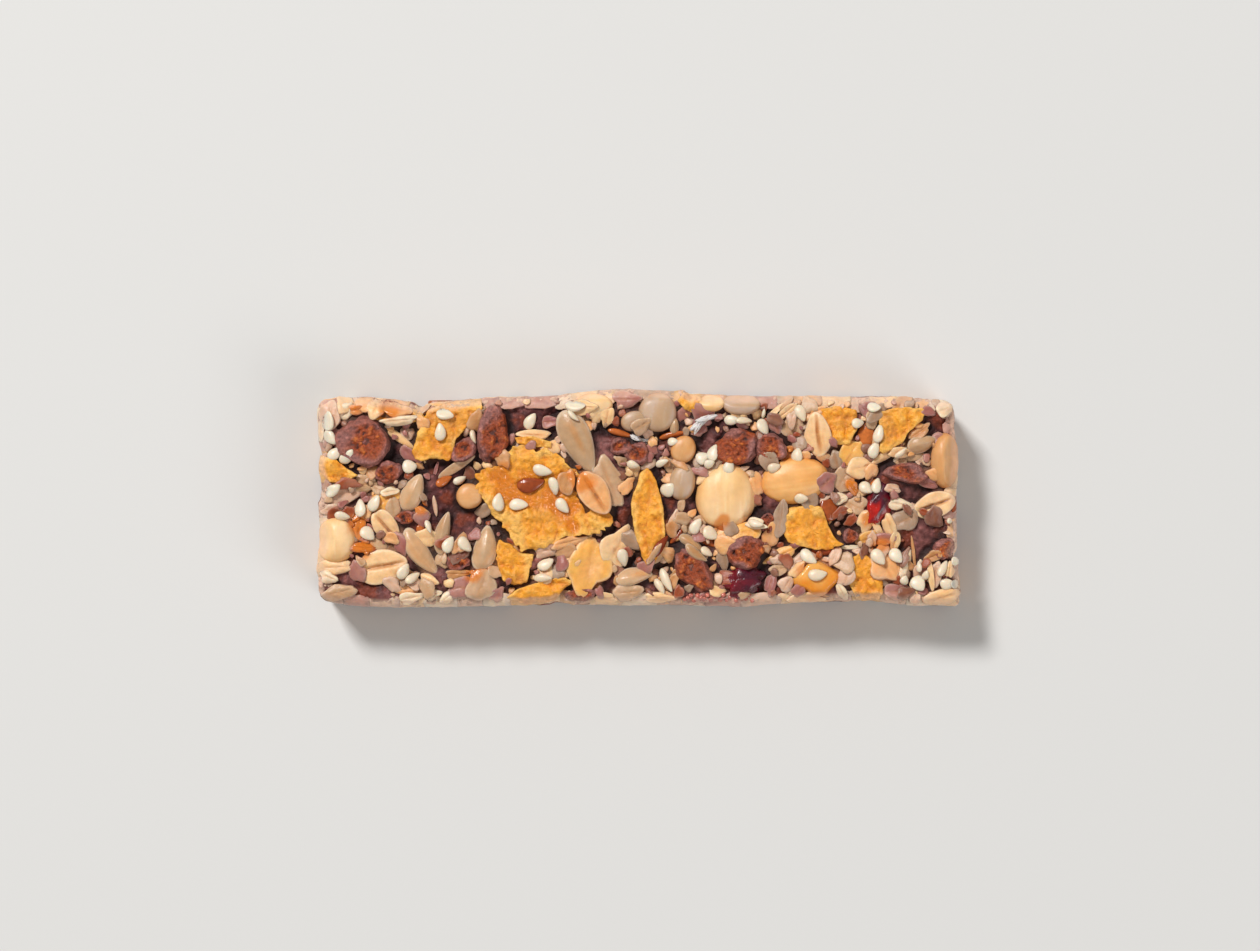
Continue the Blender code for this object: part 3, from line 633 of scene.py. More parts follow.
SMALL_FLAKES = [
    [(30.5, 15.0), (33.6, 15.7), (37.3, 15.2), (37.3, 11.8), (36.0, 9.0), (33.4, 9.1), (32.0, 10.9)],
    [(35.8, -10.5), (38.2, -9.1), (41.2, -11.3), (41.9, -15.6), (41.2, -17.4), (37.5, -17.3), (36.0, -14.7)],
    [(-24.2, -8.4), (-23.6, -6.8), (-21.4, -7.9), (-20.2, -9.2), (-17.6, -9.4), (-18.2, -12.0), (-18.8, -14.5),
     (-20.9, -14.6), (-22.8, -13.9), (-24.0, -11.1)],
    [(-22.3, -17.0), (-20.3, -15.2), (-16.5, -14.2), (-13.0, -13.2), (-10.8, -14.0), (-13.0, -15.8), (-14.1, -17.6),
     (-18.3, -18.2)],
    [(-54.2, 7.4), (-51.4, 6.6), (-49.3, 5.0), (-47.3, 3.9), (-50.4, 2.5), (-52.4, 2.7), (-54.4, 4.8)],
    [(6.7, 16.7), (7.9, 18.0), (10.6, 17.5), (11.3, 16.1), (9.8, 14.5), (7.9, 15.2)],
    [(-46.1, 15.9), (-43.0, 16.6), (-37.5, 15.0), (-35.8, 13.4), (-39.0, 12.6), (-42.5, 12.8), (-45.4, 13.6)],
    [(-21.0, 10.4), (-17.8, 10.6), (-14.6, 9.6), (-14.8, 8.6), (-18.2, 8.8), (-20.6, 9.4)],
]


def blisters(x, y, seed):
    """The height of a toasted sheet over its curve: round blisters, wrinkles between them, and fine pitting."""
    big = np.abs(uneven(x, y, 0.0, 2.4, seed)) ** 0.8
    wrinkles = uneven(x + 0.4 * y, y, 0.0, 1.1, seed + 1)
    return 0.7 * big - 0.28 + 0.24 * wrinkles + 0.17 * uneven(x, y, 0.0, 0.5, seed + 2)


def flake_form(outline, sides, top_rings, level, seed, cup):
    """One sheet: its outline, made ragged, drawn in to the middle in rings, under and then over. CUP raises the rim."""
    corners = np.array(outline + outline[:1])
    if np.cross(corners[:-1], corners[1:]).sum() < 0:
        corners = corners[::-1]
    run = np.concatenate([[0.0], np.cumsum(np.hypot(*np.diff(corners, axis=0).T))])
    evenly = np.arange(sides) * run[-1] / sides
    rim = np.stack([np.interp(evenly, run, corners[:, axis]) for axis in (0, 1)], axis=-1)
    rim = (np.roll(rim, 1, axis=0) + np.roll(rim, -1, axis=0) + rim) / 3
    middle = rim.mean(axis=0)
    ragged = 0.06 * uneven(*rim.T, 0.0, 1.7, seed + 3) + 0.05 * uneven(*rim.T, 0.0, 0.6, seed + 4)
    rim = middle + (rim - middle) * (1 + ragged)[:, None]
    over = np.sqrt(np.linspace(1, 0, top_rings))
    reach = np.concatenate([np.linspace(0, 0.97, 7), over])[:, None]
    plan = middle + (rim - middle) * reach[..., None]
    x, y = plan[..., 0], plan[..., 1]
    up = np.concatenate([-np.ones(7), np.ones(top_rings)])[:, None]
    bumps = blisters(x, y, seed)
    wet = syrup(np.stack([x, y, np.full(x.shape, CORE_HEIGHT)], axis=-1)) * (up > 0)
    skin = up * FLAKE_THICKNESS / 2 * np.sqrt(np.clip(1 - reach**5, 0, 1))
    z = level + cup * (reach**2 - 0.5) + bumps * (1 - 0.75 * wet) - 0.25 * wet + skin
    # Painted shade: the sheet's hollows are turned deeper orange, with some random unevenness as well.
    tone = mix(GOLD, HOLLOW_SHADE, ramp(-bumps + 0.35 * uneven(x, y, 0.0, 0.7, seed + 5), -0.1, 0.6) * 0.8)
    tone = mix(tone, OCHRE, ramp(uneven(x, y, 0.0, 3.5, seed + 8), 0.1, 0.7) * 0.45)
    crust = ramp(reach + 0.45 * uneven(x, y, 0.0, 2.2, seed + 6), 0.7, 1.1) + 0.6 * ramp(bumps, 0.15, 0.5)
    tone = mix(tone, PALE_CRUST, np.clip(crust, 0, 1) * 0.65)
    tone = tone * (1 - 0.22 * ramp(uneven(x, y, 0.0, 0.35, seed + 7), 0.3, 0.8))[..., None]
    tone = mix(tone, AMBER, wet * 0.9)
    return np.stack([x, y, z], axis=-1)[None], tone[None], (0.15 + 0.85 * wet)[None]


def raise_ground(outline, points):
    """Raises the ground to a sheet's top inside its outline, at the height of the nearest of its points."""
    corners = np.array(outline)
    window = near(*corners.mean(axis=0), np.ptp(corners, axis=0).max() / 2 + 1)
    x, y = ground_x[window], ground_y[window]
    inside = np.zeros(x.shape, bool)
    for (ax, ay), (bx, by) in zip(corners, np.roll(corners, -1, axis=0)):
        crosses = ((ay > y) != (by > y)) & (x < (bx - ax) * (y - ay) / (by - ay + 1e-9) + ax)
        inside ^= crosses
    top = points[0, 8:].reshape(-1, 3)
    cells = tuple(((top[:, axis] - grid[0, 0]) / CELL).astype(int) for axis, grid in ((0, ground_x), (1, ground_y)))
    sheet = np.full(ground.shape, -1.0)
    np.maximum.at(sheet, cells, top[:, 2])
    sheet = sheet[window]
    level = np.where(sheet > 0, sheet, np.median(sheet[inside & (sheet > 0)]))
    higher = inside & (level > ground[window])
    ground[window] = np.where(higher, level, ground[window])
    stain[window][higher] = GOLD * 0.8


draw = np.random.default_rng(13)
groups = []
for number, outline in enumerate([*SMALL_FLAKES, *FLAKES.values()]):
    large = number == len(SMALL_FLAKES)
    own = number >= len(SMALL_FLAKES)
    level = CORE_HEIGHT + (0.55 if own else 0.35)
    sides, top_rings = (300, 60) if large else (110, 22)
    cup = 0.7 if large else 0.35
    points, tone, wet = flake_form(outline, sides, top_rings, level, 50 + 9 * number, cup)
    points = pressed(points)
    raise_ground(outline, points)
    groups.append((points, edge_paled(points, tone, 0.75), wet))


def flake_slabs(long, wide, draw, rings, sides):
    """Small sheets seen flat: ragged ovals with blisters, for the walls and the base."""
    x, y, z = ball(rings, sides)
    seed = per_piece(draw.uniform(0, 60, len(long)))
    lobes = 1 + 0.2 * uneven(x + seed, y, 0.0, 0.8, 90) + 0.07 * uneven(x + seed, y, 0.0, 0.25, 91)
    px = x * per_piece(long) / 2 * lobes
    py = y * per_piece(wide) / 2 * lobes + 0.5 * uneven(px, seed, 0.0, 2.6, 93)
    bumps = blisters(px + 9 * seed, py, 92)
    pz = z * FLAKE_THICKNESS * 0.9 + 0.35 * bumps * np.abs(z)
    # Painted shade: the hollows between the blisters are turned deeper orange.
    tone = mix(GOLD, HOLLOW_SHADE, ramp(-bumps, -0.15, 0.55) * 0.8)
    return np.stack([px, py, pz], axis=-1), mix(tone, PALE_CRUST, ramp(np.hypot(x, y), 0.8, 1.0) * 0.6)


for place_in, count in ((in_wall, 34), (in_base, 26)):
    cut = (draw.uniform(0, 1, count) < 0.7) & (place_in is in_wall)
    wide = np.where(cut, draw.uniform(1.1, 1.8, count), draw.uniform(3.5, 6.5, count))
    local, tone = flake_slabs(draw.uniform(6, 12, count), wide, draw, 12, 28)
    points = place_in(local, draw)
    groups.append((points, edge_paled(points, tone), 0.2))
toast = food_material("toasted_maize", 1300, 0.00028, 0.55, 0.12, flesh=0.12, speckle=0.16)
make_piece("corn_flakes", *closed_forms(groups, 0.0), toast, "corn_flake", list(FLAKES))

# Sunflower kernels: hulled seeds, grey-beige and waxy, each a long drop with one pointed end, lying flat or tilted
# in the mass. The largest is toasted and shows warm through its skin.
HUSK_WHITE = np.array((0.92, 0.79, 0.62))
KERNEL_PALE, KERNEL_WARM = np.array((0.61, 0.39, 0.22)), np.array((0.62, 0.29, 0.10))
KERNELS = [
    (-38.3, 1.0, 65, 7.0, 3.6), (-37.2, -9.3, -55, 9.6, 3.6), (-33.3, -6.0, 80, 7.6, 2.6), (-25.9, -8.5, 78, 8.0, 4.0),
    (-10.1, 9.6, -65, 12.0, 5.2), (-0.6, -13.2, 12, 6.4, 2.9), (48.4, 9.3, 18, 5.2, 2.9), (3.9, -9.4, 53, 4.8, 1.6),
    (9.2, -7.6, -35, 5.2, 1.9), (25.2, 15.9, 40, 3.6, 1.2), (6.3, 12.3, 85, 2.9, 1.5), (9.8, -9.4, -38, 4.6, 1.6),
]


def drop_forms(sizes, draw, rings, sides, point, ridge):
    """Drops, rounder at one end and drawn to a POINT at the other, with a low RIDGE down the middle."""
    x, y, z = ball(rings, sides)
    count = len(sizes)
    long, wide, thick = (per_piece(side) for side in np.transpose(sizes))
    seed = per_piece(draw.uniform(0, 60, count))
    narrow = 1 - point * x - 0.3 * point * x**2
    wave = 1 + 0.04 * uneven(x + seed, y, z, 0.8, 110)
    bow = 0.06 * long * per_piece(draw.uniform(-1, 1, count)) * x**2
    px, py = x * long / 2 * wave, y * wide / 2 * narrow * wave + bow
    pz = z * thick / 2 * (0.55 + 0.45 * narrow) + ridge * thick * np.exp(-((y / 0.2) ** 2)) * (z > 0) * (1 - x**2)
    return np.stack([px, py, pz], axis=-1), seed


def kernel_tones(local, seed, draw, rings, sides):
    """Warm in the middle, streaked along the seed, with a pale rim."""
    x, y, z = ball(rings, sides)
    px, py, pz = np.moveaxis(local, -1, 0)
    warm = ramp(uneven(0.25 * px + seed, 1.4 * py, pz, 1.3, 113), -0.6, 0.6) * ramp(np.hypot(x, y), 1.0, 0.5)
    tone = mix(KERNEL_PALE, KERNEL_WARM, warm * 0.8)
    shade = 0.8 + 0.35 * per_piece(draw.uniform(0, 1, len(local)))
    return mix(tone * shade[..., None], HUSK_WHITE, ramp(np.hypot(x, y), 0.86, 0.98) * 0.5)


draw = np.random.default_rng(15)
groups = []
thick = [min(2.6, 0.55 * place[4] + 0.7) for place in KERNELS]
local, seed = drop_forms([(*place[3:], high) for place, high in zip(KERNELS, thick)], draw, 22, 34, 0.3, 0.05)
points = laid(local, KERNELS, thick, 0.3, KERNEL_PALE * 0.8)
groups.append((points, edge_paled(points, kernel_tones(local, seed, draw, 22, 34)), 0.5))
for place_in, count in ((in_wall, 36), (in_base, 30)):
    sizes = drawn(draw, count, (7, 11), (2.4, 4.4), (1.6, 2.4))
    local, seed = drop_forms(sizes, draw, 12, 20, 0.3, 0.05)
    groups.append((place_in(local, draw), kernel_tones(local, seed, draw, 12, 20), 0.35))
waxy = food_material("sunflower_kernel_skin", 700, 0.00008, 0.45, 0.2, flesh=0.25, speckle=0.1)
make_piece("sunflower_kernels", *closed_forms(groups), waxy, "binder_oats_and_seeds")

# Flax and other brown seeds: flat glossy drops, red-brown to nearly black, and slivers of fruit skin and apricot of
# like size: each place says how far its colour goes from brown to orange.
FLAX_BROWN, FLAX_ORANGE = np.array((0.25, 0.035, 0.008)), np.array((0.74, 0.21, 0.04))
FLAX = [
    (-18.1, 2.3, 12, 4.9, 2.5, 0.15), (14.2, -4.6, -55, 3.2, 1.6, 0.7), (11.5, -6.7, -35, 4.8, 2.2, 0.3),
    (-2.8, 11.1, -15, 4.8, 1.1, 0.5), (6.1, 10.9, 12, 5.1, 1.1, 0.5), (7.0, -6.0, 54, 4.6, 0.9, 0.1),
    (3.8, -8.1, 55, 4.4, 1.6, 0.0), (-36.6, -6.0, -60, 3.4, 1.5, 0.6), (-33.0, 3.0, 30, 3.1, 1.5, 0.6),
    (33.2, -1.6, 20, 4.6, 4.0, 0.25), (38.9, 10.9, 78, 4.6, 3.0, 0.75), (31.6, -9.1, -8, 4.4, 1.3, 0.1),
    (-46.4, -8.4, 0, 2.4, 1.4, 0.1), (40.1, 2.6, 60, 1.6, 0.9, 0.9), (54.0, -1.2, 80, 2.4, 1.0, 0.2),
]
draw = np.random.default_rng(16)
groups = []
local, _ = drop_forms([(*place[3:5], 1.1) for place in FLAX], draw, 14, 22, 0.35, 0.0)
share = per_piece([place[5] for place in FLAX]) + 0.15 * uneven(*np.moveaxis(local, -1, 0), 1.2, 120)
points = laid(local, FLAX, 1.1, 0.3, FLAX_BROWN)
groups.append((points, mix(FLAX_BROWN, FLAX_ORANGE, np.clip(share, 0, 1)), 0.8))
for place_in, count in ((in_wall, 16), (in_base, 12)):
    sizes = drawn(draw, count, (3.8, 4.9), (1.9, 2.4), 1.1)
    local, _ = drop_forms(sizes, draw, 9, 14, 0.35, 0.0)
    tone = mix(FLAX_BROWN, FLAX_ORANGE, per_piece(draw.uniform(0, 0.6, count)))
    groups.append((place_in(local, draw), tone, 0.7))
flax_skin = food_material("flax_skin", 1500, 0.00005, 0.35, 0.14, flesh=0.05, speckle=0.18)
make_piece("flax_seeds", *closed_forms(groups), flax_skin, "binder_oats_and_seeds")

# Rolled oats: whole oat grains steamed and rolled flat. Each is a cream oval with a groove down its middle, where
# the tan bran shows, and many are soaked a translucent beige by the syrup. Some stand on edge.
TONES = {
    "cream": (0.93, 0.58, 0.29), "white": (0.90, 0.70, 0.48), "milk": (0.72, 0.46, 0.32), "peach": (0.86, 0.42, 0.16),
    "gold": (0.90, 0.44, 0.09), "tan": (0.60, 0.29, 0.11), "beige": (0.58, 0.36, 0.20), "grey": (0.40, 0.26, 0.17),
    "amber": (0.72, 0.22, 0.02), "rose": (0.38, 0.135, 0.115), "rust": (0.33, 0.06, 0.012),
    "brown": (0.23, 0.075, 0.04),
}
BRAN = np.array((0.56, 0.22, 0.06))
CLEAR_OATS = [
    (-42.9, -4.8, -50, 6.8, 3.9, "cream"), (-43.5, -11.5, 12, 8.7, 6.1, "cream"), (-7.4, 0.9, -58, 8.4, 5.0, "peach"),
    (30.7, 10.8, 95, 7.8, 4.6, "cream"), (50.7, -1.1, 19, 7.3, 4.6, "cream"),
]
SOAKED_OATS = [
    (-49.6, 14.8, 50, 3.6, 2.4, "white"), (-52.4, 14.2, 80, 5.1, 3.9, "milk"), (-47.6, 15.1, 10, 3.2, 1.9, "amber"),
    (-44.6, 15.4, 80, 3.6, 3.4, "cream"),
    (-40.9, 15.1, -12, 5.8, 2.8, "peach"), (-40.5, 13.3, 6, 6.6, 1.7, "white"), (-39.1, 11.4, 60, 2.9, 2.4, "milk"),
    (-50.4, 0.9, 10, 6.8, 4.2, "milk"), (-51.2, -2.0, 0, 6.0, 2.2, "milk"), (-46.2, 2.5, 15, 5.0, 3.2, "beige"),
    (-43.0, -0.3, 35, 5.4, 4.1, "gold"), (-42.2, 1.2, 12, 3.4, 1.5, "white"), (-47.4, -4.6, 85, 5.4, 2.6, "amber"),
    (-46.4, -8.4, -5, 4.8, 2.0, "rust"), (-51.4, -11.7, 4, 6.0, 2.8, "cream"), (-52.6, -13.4, -20, 3.4, 2.1, "white"),
    (-50.9, -16.0, 15, 5.8, 2.8, "beige"), (-39.3, -15.4, 5, 5.0, 2.3, "peach"), (-35.5, -14.0, -20, 3.6, 2.1, "cream"),
    (-38.6, -17.0, 10, 4.6, 2.0, "white"), (-35.1, -16.2, 5, 3.2, 1.9, "white"), (-32.5, -16.9, 40, 2.6, 2.1, "white"),
    (-30.4, -12.8, 0, 4.8, 1.7, "tan"), (-29.6, -15.2, 5, 6.0, 3.8, "rose"), (-26.6, -14.8, 70, 6.2, 5.0, "beige"),
    (-14.9, -8.7, 15, 5.8, 2.6, "milk"), (-12.0, -11.8, 38, 5.8, 2.6, "peach"), (-11.8, -7.4, 14, 6.2, 2.0, "peach"),
    (-8.0, -11.2, 80, 9.8, 7.4, "gold"), (-3.3, -8.2, 60, 7.4, 5.0, "cream"), (-1.7, -16.0, 5, 5.6, 2.9, "beige"),
    (-5.6, -17.0, 0, 4.0, 1.9, "cream"), (-12.0, 2.9, 80, 4.4, 3.0, "tan"), (-4.7, 2.5, -66, 9.2, 4.7, "beige"),
    (-17.7, 10.8, -2, 5.8, 1.9, "cream"), (-9.2, 15.6, 0, 5.4, 2.8, "cream"), (-5.2, 13.9, 80, 3.4, 2.4, "cream"),
    (-1.9, 16.8, 0, 4.6, 3.0, "rose"), (-14.9, 13.0, 0, 3.6, 2.0, "rose"), (0.6, 12.4, 30, 3.6, 2.8, "beige"),
    (17.4, -5.9, 12, 7.4, 4.1, "gold"), (20.1, -4.3, -5, 3.6, 2.0, "white"), (24.4, -3.3, 82, 6.6, 2.4, "grey"),
    (26.5, 12.4, 70, 4.8, 3.8, "beige"), (25.4, 14.8, 40, 4.8, 1.5, "cream"), (23.3, 12.8, -70, 4.4, 2.5, "rose"),
    (24.4, -9.7, 27, 7.0, 2.4, "gold"), (6.4, -4.0, 75, 3.6, 2.4, "milk"), (29.8, 14.6, 20, 4.0, 2.4, "peach"),
    (33.8, 6.4, -75, 3.8, 2.6, "grey"), (36.5, 7.8, 62, 5.0, 4.1, "gold"), (35.0, 3.2, 60, 4.6, 4.2, "beige"),
    (38.2, 5.3, 12, 5.8, 3.5, "cream"), (36.6, 1.9, -50, 2.8, 1.9, "amber"), (32.0, 2.7, 40, 4.2, 3.6, "rose"),
    (37.0, -1.3, -20, 4.8, 3.7, "beige"), (34.6, -0.1, 15, 2.8, 2.0, "white"), (39.0, -3.6, 60, 4.2, 3.0, "cream"),
    (43.4, 1.6, -10, 2.8, 1.8, "milk"), (45.5, -3.7, 30, 5.0, 4.1, "grey"), (44.4, -0.9, -5, 4.1, 2.3, "white"),
    (43.0, -4.9, -68, 5.0, 2.2, "cream"), (48.0, 11.3, 35, 4.4, 2.1, "tan"), (52.3, 15.2, 20, 3.2, 2.7, "white"),
    (39.4, 13.7, 10, 2.6, 1.3, "cream"), (39.4, -6.9, 20, 4.6, 3.2, "gold"), (43.8, -7.2, 80, 3.4, 1.8, "cream"),
    (41.9, -11.2, -60, 6.6, 5.2, "peach"), (35.5, -12.9, 80, 4.8, 2.9, "milk"), (26.6, -11.3, 20, 3.0, 2.4, "milk"),
    (24.1, -12.0, 10, 3.2, 2.2, "beige"), (25.4, -14.6, 60, 3.2, 2.4, "milk"), (22.6, -14.6, 75, 4.0, 2.2, "rose"),
    (44.4, -15.9, 0, 4.8, 2.7, "rose"), (47.3, -16.5, 80, 3.4, 1.9, "milk"), (52.0, -16.8, 14, 6.6, 3.0, "cream"),
    (34.8, -15.9, -60, 3.2, 1.6, "white"), (29.0, -17.0, 0, 6.4, 2.0, "cream"), (50.6, -13.0, 85, 4.2, 2.4, "milk"),
    (53.1, -12.2, 85, 2.7, 1.7, "cream"), (50.3, -9.8, 30, 3.4, 2.0, "tan"), (49.6, 2.6, -10, 3.2, 1.8, "rose"),
    (3.6, -17.0, 0, 5.0, 2.0, "cream"), (-54.0, 11.9, 85, 4.0, 1.6, "white"), (12.6, -16.8, 5, 5.6, 1.9, "rose"),
]
EDGE_ON_OATS = [
    (-40.6, 10.3, -36, 6.7, 1.5, "cream"), (-30.9, 5.4, 31, 7.3, 1.6, "beige"), (12.2, 4.4, 38, 5.8, 1.8, "cream"),
    (42.9, 7.8, 31, 7.3, 1.6, "cream"), (45.0, 7.2, 31, 3.4, 1.2, "white"), (47.4, 7.0, 9, 6.4, 1.3, "beige"),
    (45.6, -11.5, 72, 6.2, 1.7, "white"), (49.9, -13.2, -82, 5.4, 1.1, "cream"), (36.5, -8.3, 2, 4.1, 0.8, "white"),
    (31.8, 0.0, 30, 4.4, 0.9, "milk"), (32.3, -10.4, -8, 3.1, 0.9, "milk"), (47.0, -9.2, -84, 6.4, 0.6, "tan"),
    (-34.3, 5.2, 75, 3.2, 0.6, "rose"), (-34.5, -1.4, -82, 3.6, 0.8, "milk"), (23.6, 15.0, 42, 4.0, 1.0, "cream"),
    (28.0, 7.6, -4, 3.8, 0.9, "milk"), (2.8, -9.4, 55, 4.6, 1.0, "beige"), (13.0, -14.8, 86, 4.4, 1.0, "beige"),
    (5.4, -13.8, -62, 3.8, 1.0, "white"), (40.9, -5.2, -60, 4.2, 1.2, "cream"), (48.2, -11.5, 88, 2.2, 1.0, "white"),
]


def oat_forms(sizes, tones, draw, rings, sides, groove, torn):
    """Flat ovals with a pinched tip, rolled uneven: a GROOVE from 0 to 1 runs down the middle of the top, the rim
    waves or, on TORN ones, is broken by lobes, and patches of it have taken up syrup."""
    x, y, z = ball(rings, sides)
    count = len(sizes)
    long, wide, thick = (per_piece(side) for side in np.transpose(sizes))
    seed = per_piece(draw.uniform(0, 60, count))
    wave = 1 + (0.06 + 0.16 * torn) * uneven(x + seed, y, 0.5 * z, 0.7, 100)
    wave = wave + 0.09 * torn * uneven(x, y + seed, z, 0.25, 105)
    corner = np.arctan2(y, x)
    wave = wave + torn * (0.13 * np.cos(3 * corner + 7 * seed) + 0.07 * np.cos(5 * corner + 3 * seed)) * (1 - z**2)
    drift = 0.12 * uneven(x + seed, 0.0, 0.0, 0.9, 101)
    cleft = per_piece(groove) * np.exp(-(((y - drift) / 0.13) ** 2)) * np.clip(1 - x**2, 0, 1) * (z > 0)
    px = x * long / 2 * wave
    py = y * wide / 2 * wave * (1 - 0.14 * x - 0.10 * x**2)
    flat = np.sign(z) * np.abs(z) ** (0.7 - 0.25 * torn)
    cup = per_piece(draw.uniform(-0.5, 1.0, count))
    pz = flat * thick / 2 - cleft * 0.4 * thick + 0.3 * thick * (y**2 - 0.4) * cup
    pz = pz + 0.12 * uneven(px + seed, py, z, 1.2, 102) + 0.05 * uneven(px + seed, py, z, 0.5, 106)
    own = np.asarray(tones, float).reshape(count, 1, 1, 3)
    fibres = ramp(uneven(0.3 * px + seed, 2.2 * py, z, 0.9, 103), -0.4, 0.8)
    tone = mix(own, own * (0.92, 0.76, 0.60), fibres * 0.7)
    soak = ramp(uneven(px + seed, py, z, 2.3, 104), -0.1, 0.7)
    tone = mix(tone, own * 0.75 + np.array(TONES["milk"]) * 0.3, soak * 0.7)
    tone = mix(tone, BRAN, np.clip(cleft * 1.3, 0, 1) * 0.85)
    rim = ramp(np.hypot(x, y), 0.82, 0.98) * (z > -0.4)
    return np.stack([px, py, pz], axis=-1), mix(tone, own * 0.6 + HUSK_WHITE * 0.42, rim * 0.75)


def lay_oats(places, thickness, sink, groove, torn, rings, sides, rest_on=65):
    """One group of oats on the top, in their own tones: their points, colours and wetness."""
    thick = np.minimum(thickness, 0.55 * np.array([place[4] for place in places]) + 0.5)
    tones = np.array([TONES[place[5]] for place in places])
    sizes = [(*place[3:5], high) for place, high in zip(places, thick)]
    local, tone = oat_forms(sizes, tones, draw, rings, sides, np.full(len(places), groove), torn)
    points = laid(local, places, thick, sink, tones * 0.85, rest_on=rest_on)
    cover = syrup(points)
    return points, edge_paled(points, mix(tone, AMBER, cover * 0.8)), 0.35 + 0.6 * cover


draw = np.random.default_rng(14)
groups = [
    lay_oats(SOAKED_OATS, 1.5, 0.35, 0.3, 0.8, 16, 30), lay_oats(EDGE_ON_OATS, 2.2, 0.5, 0.0, 0.2, 14, 26),
    lay_oats(CLEAR_OATS, 1.6, 0.22, 1.0, 0.15, 30, 52),
]
for place_in, count in ((in_wall, 110), (in_base, 90)):
    cut = (draw.uniform(0, 1, count) < 0.5) & (place_in is in_wall)
    long = draw.uniform(5.0, 8.0, count)
    wide = np.where(cut, draw.uniform(1.4, 2.2, count), long * draw.uniform(0.45, 0.7, count))
    tones = np.array(list(TONES.values()))[draw.integers(0, 8, count)]
    sizes = np.stack([long, wide, draw.uniform(1.0, 1.7, count)], axis=1)
    local, tone = oat_forms(sizes, tones, draw, 9, 16, np.where(cut, 0, draw.uniform(0.2, 1.0, count)), 0.5)
    points = place_in(local, draw)
    groups.append((points, edge_paled(points, tone), 0.3))
rolled = food_material("rolled_oat", 900, 0.00012, 0.55, 0.2, flesh=0.25, speckle=0.1)
make_piece("rolled_oats", *closed_forms(groups), rolled, "binder_oats_and_seeds")

# Berries: scraps of dried red berry, glossy and dark where thick, bright where thin. One stands between the oats on
# the right, the other lies at the front edge, beside crumbs of the same fruit.
BERRY_RED, BERRY_DARK = np.array((0.48, 0.008, 0.003)), np.array((0.075, 0.004, 0.016))
BERRIES = [(40.9, -1.1, 66, 7.2, 3.4, 4.4), (18.0, -14.2, 15, 6.8, 5.0, 5.2)]
draw = np.random.default_rng(17)
x, y, z = ball(30, 44)
long, wide, thick = (per_piece([berry[k] for berry in BERRIES]) for k in (3, 4, 5))
seed = per_piece([2.0, 8.0])
folds = 1 + 0.38 * uneven(x + seed, y, z, 0.6, 130) + 0.2 * uneven(x + seed, y, z, 0.25, 131)
local = np.stack([x * long / 2 * folds, y * wide / 2 * folds, np.minimum(z, 0.75 + 0.1 * z) * thick / 2], axis=-1)
bright = ramp(uneven(x + seed, y, z, 0.45, 132) - 1.1 * x, -0.5, 0.5) * per_piece([1.0, 0.22])
heights = [CORE_HEIGHT + 1.6 - berry[5] / 2 for berry in BERRIES]
points = laid(local, BERRIES, [berry[5] * 0.85 for berry in BERRIES], 0.0, BERRY_DARK * 2, heights)
crumbs = [(x, -16.9 + 0.5 * math.sin(7 * x), 40 * x, 0.9, 0.8) for x in np.arange(8.0, 20.0, 0.55)]
small, _ = drop_forms([(*crumb[3:], 0.8) for crumb in crumbs], draw, 8, 10, 0.1, 0.0)
crumb_points = laid(small, crumbs, 0.8, 0.5, BERRY_DARK * 3)
groups = [
    (points, mix(BERRY_DARK, BERRY_RED, bright), 0.6),
    # The crumbs at the front rim are paled towards the band's milky colour, partly painted sheen.
    (crumb_points, np.broadcast_to(mix(BERRY_RED, MILKY_SHEEN, 0.3), crumb_points.shape), 0.6),
]
berry_flesh = food_material("berry_flesh", 900, 0.0002, 0.4, 0.12, flesh=0.3, speckle=0.25, coat=0.4)
make_piece("berry_pieces", *closed_forms(groups), berry_flesh, "red_berry", ["red_berry", "dark_berry"])

# Broken oats: bits of flake, bran and meal that fill the gaps between the larger pieces, sunk in the binder there,
# and those that lay against the mould's rounded edge, pressed flat into one band round the top, milky partly from the
# pressed film and partly from painted sheen. The band's pieces are (start, end, tone), along the front and back by x
# and along the left and right by y.
BARE_BINDER = [
    (-31.5, -3.0, 4.4), (-29.6, 8.3, 3.0), (-15.2, 13.7, 3.6), (-1.8, 0.0, 2.2), (20.0, 6.0, 1.6), (22.4, -4.0, 2.0),
    (48.6, 2.2, 2.6), (51.5, 13.0, 2.6), (49.0, -7.0, 3.2), (-49.0, -15.6, 2.4), (-41.0, 7.6, 2.2), (-34.0, -13.6, 2.0),
    (11.8, 9.4, 2.6), (5.6, 11.2, 2.4), (-45.6, -15.6, 3.0), (20.6, -14.6, 2.6), (-5.6, 9.4, 2.2), (9.4, 0.6, 1.6),
    (-32.5, 3.0, 3.4), (-20.5, 13.9, 3.0), (-3.0, 10.0, 3.2), (-1.6, -3.6, 1.6), (4.6, -1.2, 1.6), (22.0, -1.2, 1.8),
    (42.4, 4.6, 1.6), (46.4, 1.2, 2.0), (47.4, -4.4, 2.2), (-42.0, 6.4, 2.4), (-34.6, -9.6, 1.6), (6.4, -9.6, 1.4),
]
